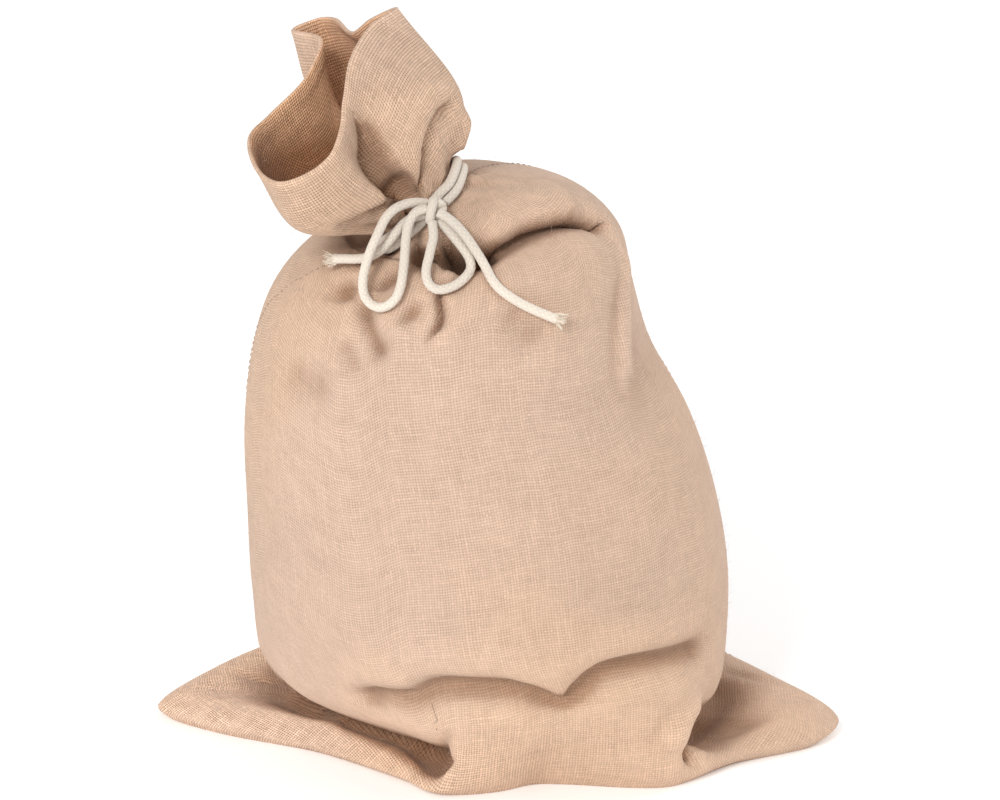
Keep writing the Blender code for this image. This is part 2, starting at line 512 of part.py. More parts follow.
def press_pleats(sheet, levels):
    """The sheet with the pleats that the tie gathers, deepest at the neck."""
    run = np.where(levels < NECK_LEVEL, PLEAT_RUN_BODY, PLEAT_RUN_MOUTH)
    strength = fade_in(1 - np.abs(levels - NECK_LEVEL) / run)[:, None, None]
    angle = TURN * np.arange(sheet.shape[1]) / sheet.shape[1]
    wave = np.cos(PLEATS * angle + PLEAT_DRIFT * np.sin(3 * angle) + 2 * PLEAT_DRIFT * np.sin(angle))
    wave *= PLEAT_WEAKEST + (1 - PLEAT_WEAKEST) * (0.5 + 0.5 * np.cos(angle - TURN * PLEAT_CENTRE))
    return sheet + outward(sheet) * (PLEAT_DEPTH * wave)[None, :, None] * strength


def make_way(sheet, normal, levels, lines, radius):
    """The sheet pressed inwards wherever a cord's line passes nearer over it than radius."""
    upper = np.flatnonzero((levels > TIED_LEVELS[0]) & (levels < TIED_LEVELS[1]))
    patch = sheet[upper].reshape(-1, 3)
    normal = normal[upper].reshape(-1, 3)
    for line in lines:
        apart = np.linalg.norm(patch[:, None, :] - line[None, :, :], axis=2)
        offset = patch - line[apart.argmin(axis=1)]
        out = np.sum(offset * normal, axis=1)
        beside = (np.sum(offset * offset, axis=1) - out**2) / (GROOVE_WIDTH * radius) ** 2
        room = radius * (1.0 - beside)
        covered = (beside < 1.0) & (apart.min(axis=1) < 3 * radius) & (out > -room)
        patch = patch - normal * (np.where(covered, out + room, 0.0))[:, None]
    sheet = sheet.copy()
    sheet[upper] = patch.reshape(sheet[upper].shape)
    return sheet


def tie_lines(sheet, levels):
    """The line of each stretch of the cord, by name."""
    lines = {"tie_wrap": wrap_line(sheet, levels)}
    for name, route in CORD_ROUTES.items():
        lines[name] = even_line(route, CORD_STEP)
    return lines


def sack_rows(columns, finer=1):
    """The rows under the foot and the folded rows of the sack's outside, up to the hem."""
    bluntest = BLUNTEST_FOLD / finer
    foot, sheet, levels = smooth_sheet(columns, finer)
    under = [foot * share for share in UNDER_SHARES]
    lines = tie_lines(sheet, levels)
    normal = outward(sheet)
    sheet = press_pleats(press_folds(sheet, levels, FOLDS, bluntest), levels)
    close_lines = [even_line(line, CORD_STEP / 4) for line in lines.values()]
    sheet = make_way(sheet, normal, levels, close_lines, CORD / 2 + GAP + CLOTH_GIVE)
    sheet[0] = foot
    sheet[:, :, 2] = np.maximum(sheet[:, :, 2], 0.0)
    return under, sheet, levels, lines


def mesh_object(name, rows, colour):
    """An object made of rows of places, each joined to the next, with its ends closed by fans."""
    rows = np.asarray(rows)
    count, columns = rows.shape[:2]
    places = [tuple(p) for p in rows.reshape(-1, 3)]
    faces = []
    for r in range(count - 1):
        for c in range(columns):
            n = (c + 1) % columns
            faces.append((r * columns + c, r * columns + n, (r + 1) * columns + n, (r + 1) * columns + c))
    for r in (0, count - 1):
        middle = len(places)
        places.append(tuple(rows[r].mean(axis=0)))
        for c in range(columns):
            n = (c + 1) % columns
            ends = (r * columns + n, r * columns + c) if r == 0 else (r * columns + c, r * columns + n)
            faces.append((*ends, middle))
    mesh = bpy.data.meshes.new(name)
    mesh.from_pydata(places, [], faces)
    mesh.shade_smooth()
    return add_object(name, mesh, colour)


def add_object(name, data, colour):
    """An object of the given mesh or curve, in a plain matt colour."""
    thing = bpy.data.objects.new(name, data)
    bpy.context.collection.objects.link(thing)
    material = bpy.data.materials.new(name)
    material.use_nodes = True
    surface = material.node_tree.nodes["Principled BSDF"]
    surface.inputs["Base Color"].default_value = (*colour, 1.0)
    surface.inputs["Roughness"].default_value = ROUGHNESS
    data.materials.append(material)
    return thing


# ---------------------------------------------------------------- the tie's pieces
def even_line(places, spacing):
    """Evenly spaced places on the smooth line through the given ones."""
    places = np.asarray(places, float)
    line = loft(places[:, None, :], [EVEN_STEPS] * (len(places) - 1))[:, 0]
    length = np.concatenate([[0.0], np.cumsum(np.linalg.norm(np.diff(line, axis=0), axis=1))])
    wanted = np.linspace(0.0, length[-1], max(round(length[-1] / spacing), 2) + 1)
    return np.stack([np.interp(wanted, length, values) for values in line.T], axis=1)


def wrap_line(sheet, levels):
    """The line of the cord's two turns round the neck, side by side on its cloth."""
    neck = sheet[np.abs(levels - NECK_LEVEL).argmin()]
    axis = neck_axis(neck)
    out = np.cross(np.roll(neck, -1, axis=0) - np.roll(neck, 1, axis=0), axis)
    seat = neck + out / np.linalg.norm(out, axis=1, keepdims=True) * WRAP_LIFT
    seat = np.concatenate([seat, seat[:1]])
    turns = np.linspace(WRAP_START, WRAP_END, 160)
    columns = np.arange(len(seat)) / (len(seat) - 1)
    places = np.stack([np.interp(turns % 1.0, columns, values) for values in seat.T], axis=1)
    crossed = fade_in((turns - WRAP_CROSSING[0]) / (WRAP_CROSSING[1] - WRAP_CROSSING[0]))
    rise = (crossed - 0.5)[:, None] * WRAP_PITCH
    return even_line((places + axis * rise)[::4], WRAP_STEP)


def cord_object(name, line, tuft=False):
    """A tube of cord along a line, spreading at its far end where it is frayed."""
    curve = bpy.data.curves.new(name, "CURVE")
    curve.dimensions = "3D"
    curve.bevel_depth = CORD / 2
    curve.bevel_resolution = 2
    curve.use_fill_caps = True
    spline = curve.splines.new("POLY")
    spline.points.add(len(line) - 1)
    for point, place in zip(spline.points, line):
        point.co = (*place, 1.0)
    if tuft:
        spline.points[-2].radius = 0.5 + TUFT_SPREAD / 2
        spline.points[-1].radius = TUFT_SPREAD
    spline.use_smooth = True
    return add_object(name, curve, COTTON_COLOUR)


def build_tie(lines):
    """The cord's turns, loops and tails, and the knot."""
    for name, line in lines.items():
        cord_object(name, line, name in TAILS)
    build_knot()


def build_knot():
    """The knot: a flattened ball with the strand that binds it standing out over its left side."""
    rings = []
    for r in range(1, KNOT_RINGS):
        tilt = math.pi * r / KNOT_RINGS
        z = -KNOT_HALF_HEIGHT * math.cos(tilt)
        ring = []
        for side in range(KNOT_SIDES):
            angle = TURN * side / KNOT_SIDES
            width = KNOT_RIGHT if math.cos(angle) > 0 else KNOT_LEFT
            x = width * math.sin(tilt) * math.cos(angle)
            y = (KNOT_BACK if angle < math.pi else KNOT_FRONT) * math.sin(tilt) * math.sin(angle)
            if angle > math.pi:
                y -= KNOT_NOSE * math.exp(-((x / KNOT_NOSE_HALF) ** 4)) * math.sin(tilt) ** 0.5
            place = (KNOT_CENTRE[0] + x + z * KNOT_LEAN, KNOT_CENTRE[1] + y, KNOT_CENTRE[2] + z)
            ring.append(place)
        rings.append(ring)
    return mesh_object("tie_knot", rings, COTTON_COLOUR)


# ---------------------------------------------------------------- the sack's pieces
def lining_rows(sheet, levels):
    """The inside of the open mouth, from the hem down to where the cloth is gathered shut."""
    inside = sheet - outward(sheet) * CLOTH
    wanted = levels >= LINING_LEVEL
    return inside[wanted][::-1]


def build_sack():
    """The whole sack: underside, outside, hem and the inside of its mouth. Returns the tie's lines."""
    under, sheet, levels, lines = sack_rows(COLUMNS)
    rows = list(under[1:]) + list(sheet) + list(lining_rows(sheet, levels))
    mesh_object("sack_cloth", rows, JUTE_COLOUR)
    return lines


def main():
    for thing in list(bpy.data.objects):
        bpy.data.objects.remove(thing, do_unlink=True)
    build_tie(build_sack())


main()
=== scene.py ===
"""A filled burlap sack, gathered at the neck and tied with a cotton cord: its looks.

The cloth and the cord take their shapes from the tables below, which are the same as the solid
model's, on a finer grid. The sack is one surface of columns, which run up the cloth, and rows,
which run round it. It gets a woven surface that follows the cloth, seams, stitches and loose
fibres, and the cord is braided, knotted and frayed at its ends.

Axes: +Z up, +X along the bottom seam, -Y to the front. Lengths in metres.
"""

import functools
import json
import math

import bpy
import mathutils
import numpy as np
from bpy.props import FloatProperty, FloatVectorProperty, IntProperty, PointerProperty
from mathutils.bvhtree import BVHTree
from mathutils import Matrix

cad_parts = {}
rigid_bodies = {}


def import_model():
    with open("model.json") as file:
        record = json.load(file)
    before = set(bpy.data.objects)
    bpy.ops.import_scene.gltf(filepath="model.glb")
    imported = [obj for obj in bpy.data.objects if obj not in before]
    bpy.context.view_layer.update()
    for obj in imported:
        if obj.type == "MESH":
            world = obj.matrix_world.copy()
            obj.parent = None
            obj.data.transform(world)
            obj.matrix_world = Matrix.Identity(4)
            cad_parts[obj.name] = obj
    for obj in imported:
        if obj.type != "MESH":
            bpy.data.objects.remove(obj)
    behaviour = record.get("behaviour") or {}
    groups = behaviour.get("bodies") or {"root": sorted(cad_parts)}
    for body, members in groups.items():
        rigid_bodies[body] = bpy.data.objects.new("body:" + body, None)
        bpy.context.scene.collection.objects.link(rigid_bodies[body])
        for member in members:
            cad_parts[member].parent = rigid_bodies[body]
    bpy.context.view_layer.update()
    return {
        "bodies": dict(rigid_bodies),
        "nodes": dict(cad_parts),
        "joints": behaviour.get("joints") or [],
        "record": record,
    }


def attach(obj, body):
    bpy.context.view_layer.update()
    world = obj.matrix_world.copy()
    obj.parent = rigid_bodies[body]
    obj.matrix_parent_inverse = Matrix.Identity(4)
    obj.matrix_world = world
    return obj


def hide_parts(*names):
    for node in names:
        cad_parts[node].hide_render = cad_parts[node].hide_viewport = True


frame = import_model()

bl_info = {
    "name": "Burlap sack",
    "version": (1, 0, 0),
    "blender": (4, 5, 0),
    "location": "View3D > Sidebar > Sack",
    "description": "Builds a tied burlap sack with its woven cloth, cord and stage",
    "category": "Object",
}

# ---------------------------------------------------------------- the solid model's sizes
CORD = 0.0076              # diameter of the cotton cord
GAP = 0.0004               # clearance between pieces that touch
CLOTH_GIVE = 0.0014        # further room that the cloth gives the cord, for the flats of its faces

# Grid of the sack's surface: how many columns go round it, and how many rows each stretch has
COLUMNS = 92
FINER = 4                                      # how many times finer than that the cloth is here
EDGE_ROWS = (0.0, 0.5)                         # each row as a share of the way to the next level
LEVEL_ROWS = (0.0, 0.333, 0.667)
COLLAR_ROWS = (0.0, 0.34, 0.62, 0.84)          # closer together towards the neck
NECK_ROWS = (0.0, 0.5)
MOUTH_ROWS = (0.0, 0.12, 0.28, 0.48, 0.72)
FLARE_ROWS = (0.0, 0.2, 0.4, 0.6, 0.8)
EVEN_STEPS = tuple(step / 12 for step in range(12))

TURN = 2.0 * math.pi

# ---------------------------------------------------------------- the base
# One row for each direction in which the base is drawn, going round from the right ear by the
# back, the left ear and the front. turn is the share of the way round at which the direction
# lies, bearing its compass angle, and point how sharply the outline turns there. Each pair is a
# place on the upright line of cloth in that direction, as reach from the middle and height: the
# edge that meets the floor, the top of the ear or roll, the tuck behind it and the wall above.
BASE_DIRECTIONS = [
    # name             turn  bearing point  edge           crest           tuck            wall
    ("right ear",      0.000, 1.5, 0.30, (0.295, 0.010), (0.276, 0.027), (0.190, 0.032), (0.194, 0.062)),
    ("right ear back", 0.045, 12.0, 0.3, (0.266, 0.010), (0.244, 0.030), (0.186, 0.040), (0.194, 0.076)),
    ("right back",     0.095, 28.0, 0.0, (0.222, 0.012), (0.208, 0.036), (0.184, 0.048), (0.190, 0.082)),
    ("back right",     0.165, 58.0, 0.0, (0.170, 0.016), (0.172, 0.044), (0.162, 0.060), (0.170, 0.095)),
    ("back",           0.250, 90.0, 0.0, (0.156, 0.018), (0.168, 0.050), (0.168, 0.075), (0.175, 0.105)),
    ("back left",      0.335, 122.0, 0.0, (0.176, 0.016), (0.174, 0.044), (0.164, 0.060), (0.176, 0.095)),
    ("left back",      0.405, 152.0, 0.0, (0.246, 0.012), (0.218, 0.034), (0.190, 0.046), (0.202, 0.080)),
    ("left ear back",  0.455, 167.0, 0.3, (0.276, 0.009), (0.248, 0.026), (0.194, 0.040), (0.206, 0.076)),
    ("left ear",       0.500, 181.0, 0.35, (0.297, 0.009), (0.281, 0.022), (0.194, 0.034), (0.207, 0.075)),
    ("left ear side",  0.536, 189.3, 0.2, (0.247, 0.009), (0.222, 0.026), (0.178, 0.033), (0.199, 0.069)),
    ("left ear front", 0.585, 204.0, 0.2, (0.176, 0.009), (0.164, 0.030), (0.148, 0.031), (0.179, 0.059)),
    ("hollow",         0.665, 240.0, 0.0, (0.148, 0.009), (0.136, 0.022), (0.117, 0.024), (0.160, 0.064)),
    ("hollow end",     0.698, 253.0, 0.0, (0.158, 0.007), (0.151, 0.018), (0.128, 0.027), (0.161, 0.063)),
    ("front roll",     0.722, 262.0, 0.0, (0.155, 0.010), (0.156, 0.026), (0.158, 0.050), (0.165, 0.082)),
    ("roll",           0.745, 274.0, 0.0, (0.146, 0.012), (0.157, 0.042), (0.162, 0.062), (0.166, 0.086)),
    ("front",          0.780, 290.0, 0.0, (0.136, 0.014), (0.152, 0.042), (0.160, 0.064), (0.166, 0.088)),
    ("front right",    0.870, 322.0, 0.2, (0.200, 0.014), (0.204, 0.044), (0.200, 0.064), (0.198, 0.090)),
    ("right ear front", 0.925, 342.0, 0.2, (0.226, 0.009), (0.203, 0.024), (0.174, 0.030), (0.194, 0.060)),
    ("right ear side", 0.968, 353.6, 0.2, (0.280, 0.010), (0.256, 0.027), (0.184, 0.031), (0.194, 0.061)),
]
UNDER_SHARES = (0.45, 0.80)          # rows on the floor, as shares of the edge's reach
EDGE_INSET = 0.010                   # the flat underside stops this far inside the edge

# ---------------------------------------------------------------- the body
# One row for each level of the body: heights at the right, back, left and front, then how far it
# reaches to the right, left, front and back, and how square its outline is (2 is an ellipse).
BODY_LEVELS = [
    # name            z_right z_back z_left z_front  right   left   front   back   square
    ("low",            0.140, 0.150, 0.140, 0.145,   0.197, -0.210, -0.176, 0.180, 2.3),
    ("belly",          0.210, 0.220, 0.210, 0.215,   0.186, -0.212, -0.180, 0.183, 2.3),
    ("waist",          0.280, 0.285, 0.285, 0.285,   0.163, -0.213, -0.176, 0.181, 2.25),
    ("chest",          0.345, 0.345, 0.350, 0.345,   0.128, -0.205, -0.164, 0.175, 2.2),
    ("shoulder",       0.400, 0.400, 0.395, 0.392,   0.112, -0.190, -0.148, 0.160, 2.2),
    ("upper shoulder", 0.448, 0.448, 0.428, 0.428,   0.101, -0.163, -0.126, 0.132, 2.1),
    ("crown",          0.484, 0.482, 0.446, 0.452,   0.066, -0.130, -0.106, 0.090, 2.0),
    ("collar",         0.502, 0.493, 0.444, 0.454,   0.010, -0.113, -0.098, 0.025, 2.1),
]

# ---------------------------------------------------------------- the neck and the mouth
# One row for each line of cloth that fans out from the tied neck: the places where it leaves the
# neck, passes the middle of the flare and ends at the hem.
FLARE_LINES = [
    # name            turn   neck                     middle                   hem
    ("corner",         0.00, (-0.030, -0.043, 0.514), (-0.026, -0.030, 0.566), (-0.080, -0.018, 0.640)),
    ("right back",     0.06, (-0.034, -0.034, 0.509), (-0.048, 0.010, 0.577), (-0.104, 0.015, 0.623)),
    ("notch",          0.11, (-0.038, -0.027, 0.503), (-0.075, 0.034, 0.570), (-0.123, 0.041, 0.605)),
    ("far fold right", 0.17, (-0.042, -0.021, 0.498), (-0.108, 0.056, 0.558), (-0.141, 0.078, 0.607)),
    ("far fold",       0.23, (-0.053, -0.021, 0.491), (-0.139, 0.060, 0.548), (-0.160, 0.093, 0.601)),
    ("far fold left",  0.28, (-0.062, -0.025, 0.485), (-0.156, 0.043, 0.543), (-0.177, 0.059, 0.600)),
    ("inner ridge",    0.34, (-0.070, -0.032, 0.478), (-0.136, 0.020, 0.548), (-0.150, 0.022, 0.602)),
    ("back",           0.42, (-0.079, -0.041, 0.471), (-0.136, -0.001, 0.526), (-0.160, 0.002, 0.573)),
    ("left back",      0.48, (-0.086, -0.053, 0.464), (-0.140, -0.024, 0.508), (-0.186, -0.026, 0.549)),
    ("left tip",       0.54, (-0.089, -0.066, 0.460), (-0.156, -0.058, 0.490), (-0.198, -0.066, 0.540)),
    ("lobe left",      0.59, (-0.086, -0.077, 0.459), (-0.160, -0.098, 0.482), (-0.186, -0.108, 0.526)),
    ("lobe",           0.64, (-0.080, -0.085, 0.464), (-0.147, -0.122, 0.481), (-0.165, -0.137, 0.524)),
    ("lobe right",     0.70, (-0.071, -0.087, 0.472), (-0.122, -0.131, 0.497), (-0.139, -0.147, 0.535)),
    ("lobe edge",      0.75, (-0.062, -0.088, 0.480), (-0.099, -0.122, 0.519), (-0.121, -0.142, 0.549)),
    ("valley",         0.79, (-0.055, -0.087, 0.487), (-0.097, -0.099, 0.529), (-0.114, -0.126, 0.565)),
    ("flap left",      0.84, (-0.047, -0.084, 0.494), (-0.083, -0.103, 0.557), (-0.113, -0.108, 0.589)),
    ("flap",           0.90, (-0.037, -0.077, 0.501), (-0.065, -0.096, 0.577), (-0.111, -0.081, 0.613)),
    ("flap right",     0.95, (-0.032, -0.064, 0.507), (-0.044, -0.069, 0.579), (-0.099, -0.048, 0.631)),
]

# ---------------------------------------------------------------- folds
# One row for each fold pressed into the cloth. depth is how far it goes in, or out where it is
# negative. left and right are its half widths on either side of its route, seen from outside by
# someone who follows it, and lap is how far the lip on the left is pushed over the fold. crisp is
# 2 for a soft hollow and nearer 1 for a sharp crease. fade is the share of the route at each end
# over which it dies out. The route is in the cloth's own terms: the share of the way round, and
# the level, which counts the rings from the foot at 0 to the hem.
FOLDS = [
    # name             depth   left   right  lap    crisp  fade  route
    ("front crease",    0.014, 0.008, 0.015, 0.002, 1.7, 0.08,
     ((0.641, 4.02), (0.650, 4.24), (0.668, 4.36), (0.692, 4.42), (0.722, 4.47), (0.747, 4.46),
      (0.765, 4.35), (0.777, 4.18), (0.787, 4.03), (0.797, 4.24), (0.814, 4.52), (0.829, 4.64),
      (0.853, 4.69), (0.889, 4.71), (0.935, 4.74))),
    ("front overhang", -0.004, 0.024, 0.014, 0.000, 2.0, 0.25,
     ((0.650, 4.78), (0.700, 4.86), (0.745, 4.91), (0.786, 4.66), (0.830, 5.03), (0.930, 4.98))),
    ("front roll",     -0.006, 0.014, 0.022, 0.000, 2.0, 0.20,
     ((0.680, 3.70), (0.745, 3.90), (0.775, 3.62), (0.800, 3.70), (0.840, 4.05), (0.900, 4.00))),
    ("crease glint",   -0.004, 0.005, 0.008, 0.000, 2.0, 0.30,
     ((0.770, 3.88), (0.784, 3.81), (0.796, 3.89), (0.808, 4.11))),
    ("shoulder lip",    0.026, 0.006, 0.018, 0.011, 1.5, 0.10,
     ((0.757, 11.80), (0.781, 11.79), (0.810, 11.79), (0.832, 11.71), (0.858, 11.61), (0.886, 11.48),
      (0.911, 11.30), (0.938, 11.09), (0.969, 10.80), (0.985, 10.50), (0.994, 10.25))),
    ("shoulder swell", -0.009, 0.024, 0.010, 0.000, 2.0, 0.20,
     ((0.800, 12.11), (0.832, 11.98), (0.881, 11.78), (0.930, 11.44), (0.985, 10.96))),
    ("knot pit",        0.030, 0.009, 0.012, 0.003, 1.8, 0.25,
     ((0.787, 12.30), (0.800, 12.10), (0.815, 11.90), (0.835, 11.80), (0.860, 11.70))),
    ("loop ridge",     -0.008, 0.006, 0.006, 0.000, 2.0, 0.25,
     ((0.790, 12.45), (0.780, 12.10), (0.766, 11.60), (0.752, 11.00), (0.745, 10.40))),
    ("narrow tuck",     0.014, 0.0025, 0.0035, 0.002, 1.9, 0.25,
     ((0.743, 10.50), (0.742, 10.15), (0.747, 9.80), (0.750, 9.52), (0.747, 9.34), (0.742, 9.15))),
    ("left pit",        0.016, 0.009, 0.010, 0.000, 2.0, 0.30,
     ((0.748, 12.35), (0.746, 12.05), (0.741, 11.70), (0.735, 11.30))),
    ("dimple",          0.010, 0.014, 0.012, 0.000, 1.8, 0.35,
     ((0.634, 10.30), (0.640, 9.98), (0.645, 9.62))),
    ("valley",          0.011, 0.011, 0.007, 0.001, 1.6, 0.25,
     ((0.668, 10.05), (0.675, 9.67), (0.688, 9.36), (0.696, 9.19), (0.706, 8.95), (0.713, 8.66))),
    ("short valley",    0.011, 0.006, 0.009, 0.001, 1.6, 0.30,
     ((0.672, 10.00), (0.677, 10.35), (0.686, 10.75), (0.700, 11.00))),
    ("small valley",    0.007, 0.007, 0.007, 0.000, 1.8, 0.35,
     ((0.730, 9.95), (0.722, 9.70), (0.714, 9.45))),
    ("left trough",     0.006, 0.020, 0.022, 0.000, 2.0, 0.35,
     ((0.600, 8.35), (0.640, 8.20), (0.680, 8.10))),
    ("upper trough",    0.006, 0.012, 0.014, 0.000, 2.0, 0.35,
     ((0.664, 9.25), (0.679, 8.86), (0.700, 8.50))),
    ("right trough",    0.006, 0.018, 0.022, 0.000, 2.0, 0.35,
     ((0.795, 10.00), (0.821, 9.36), (0.842, 8.80))),
    ("right edge",     -0.007, 0.016, 0.007, 0.000, 2.0, 0.25,
     ((0.990, 10.10), (0.968, 9.60), (0.952, 9.12), (0.929, 8.50), (0.915, 7.80))),
    ("left tuck",       0.017, 0.007, 0.009, 0.009, 1.5, 0.25,
     ((0.440, 3.10), (0.490, 3.10), (0.530, 3.08), (0.560, 3.05), (0.595, 3.02))),
    ("hollow lip",      0.006, 0.006, 0.010, 0.006, 1.5, 0.12,
     ((0.586, 2.95), (0.615, 3.00), (0.641, 3.05), (0.665, 3.05), (0.687, 3.05), (0.702, 2.93),
      (0.712, 2.70), (0.718, 2.42), (0.721, 2.12))),
    ("left hollow",     0.007, 0.010, 0.012, 0.000, 2.0, 0.28,
     ((0.652, 2.85), (0.676, 2.60), (0.694, 2.40), (0.707, 2.20), (0.714, 2.00))),
    ("left ear crease", 0.006, 0.003, 0.006, 0.001, 1.5, 0.25,
     ((0.466, 2.30), (0.474, 2.54), (0.481, 2.75), (0.486, 2.96))),
    ("right ear crease", 0.003, 0.004, 0.004, 0.000, 1.7, 0.30,
     ((0.055, 2.75), (0.046, 2.46), (0.035, 2.33), (0.025, 2.20))),
    ("right tuck",      0.014, 0.006, 0.012, 0.004, 1.5, 0.12,
     ((0.892, 0.95), (0.880, 1.30), (0.877, 1.65), (0.884, 2.12), (0.903, 2.60), (0.940, 2.95),
      (0.990, 3.05), (1.050, 3.05))),
    ("right hollow",    0.009, 0.016, 0.016, 0.000, 2.0, 0.35,
     ((0.888, 1.20), (0.897, 1.65), (0.915, 2.00), (0.950, 2.35), (0.990, 2.65))),
    ("roll end",       -0.010, 0.012, 0.010, 0.000, 2.0, 0.30,
     ((0.862, 1.60), (0.866, 2.40), (0.885, 3.40), (0.905, 4.10))),
    ("lobe edge",       0.013, 0.005, 0.014, 0.006, 1.4, 0.30,
     ((0.770, 13.00), (0.771, 13.35), (0.774, 13.65), (0.778, 13.88), (0.788, 14.10), (0.802, 14.28),
      (0.816, 14.50), (0.830, 14.74), (0.838, 14.98))),
    ("lobe hollow",     0.012, 0.009, 0.013, 0.000, 2.0, 0.25,
     ((0.772, 13.10), (0.779, 13.40), (0.785, 13.72))),
    ("lobe under",      0.009, 0.004, 0.013, 0.004, 1.4, 0.25,
     ((0.672, 13.80), (0.690, 13.76), (0.704, 13.72), (0.714, 13.69), (0.723, 13.63), (0.731, 13.57),
      (0.738, 13.51), (0.743, 13.44))),
    ("lobe pit",        0.008, 0.007, 0.007, 0.000, 2.0, 0.30,
     ((0.716, 13.42), (0.730, 13.34), (0.744, 13.26), (0.757, 13.18))),
    ("flap pocket",     0.011, 0.005, 0.014, 0.005, 1.4, 0.20,
     ((0.823, 13.22), (0.851, 13.43), (0.869, 13.55), (0.897, 13.63), (0.918, 13.72), (0.936, 13.82),
      (0.956, 13.92), (0.985, 14.05))),
    ("flap ridge",     -0.005, 0.008, 0.005, 0.000, 2.0, 0.30,
     ((0.805, 13.25), (0.834, 13.46), (0.856, 13.60), (0.882, 13.72))),
    ("flap bulge",     -0.009, 0.014, 0.016, 0.000, 2.0, 0.35,
     ((1.012, 13.15), (1.012, 13.45), (1.008, 13.75), (1.004, 13.95))),
]

# Pleats gathered by the tie: how many, how deep, and how far along the cloth they run
PLEATS = 13
PLEAT_DEPTH = 0.0045
PLEAT_DRIFT = 0.55                   # how unevenly they are spaced, in radians of their wave
PLEAT_RUN_BODY = 2.2                 # levels over which they die out below the neck
PLEAT_RUN_MOUTH = 1.0                # and above it
PLEAT_CENTRE = 0.42                  # the turn at which they are deepest
PLEAT_WEAKEST = 0.35                 # their share of that depth opposite

BLUNTEST_FOLD = 0.009                # least half width of a fold, so that the grid can take it
FOLD_REACH = 3.0                     # how far from its route it is felt, in its half widths
FOLD_LEVELS = 1.6                    # levels beyond its route's own that it is looked for in
FOLD_TURNS = 0.2                     # and turns, so that it stays on its side of thin cloth

NECK_LEVEL = 13
NECK_HALF = 0.008                    # half the height of the neck, where the cord grips it
NECK_REACH = 0.2                     # levels that this takes up
TIED_LEVELS = (8.5, 14.2)            # the levels that the cord lies against
GROOVE_WIDTH = 1.7                   # half width of the hollow that it presses, in its radii
GROOVE_REACH = 3.0                   # radii within which it presses at all
LINING_LEVEL = 13.4                  # where the gathered cloth closes the mouth

# ---------------------------------------------------------------- the tie
# The cord goes twice round the neck, starting and ending under the knot, where its first turn
# crosses over to lie beside the second.
WRAP_PITCH = CORD + GAP              # from one turn to the next, along the neck
WRAP_LIFT = 0.0036                   # how far its middle stands off the smooth cloth of the neck
WRAP_START = -0.125                  # where it comes out from under the knot, right of it
WRAP_END = 1.765                     # and where it goes back under it, left of it, in turns
WRAP_CROSSING = (0.765, 0.875)       # the turns between which it crosses over
WRAP_STEP = 0.0065                   # spacing of the places that its line is drawn through
WRAP_PLACES = 160                    # places at which it is first worked out
WRAP_EVERY = 4                       # and of which one in so many is kept

KNOT_CENTRE = (-0.0459, -0.1005, 0.4945)
KNOT_LEFT, KNOT_RIGHT = 0.0046, 0.0120  # its half widths, from the strand that binds it
KNOT_HALF_HEIGHT = 0.0105
KNOT_FRONT, KNOT_BACK = 0.0030, 0.0060  # its half depths beside that strand
KNOT_NOSE = 0.0065                   # how far the strand stands out
KNOT_LEAN = 0.18                     # how far the strand leans to the right, as a slope

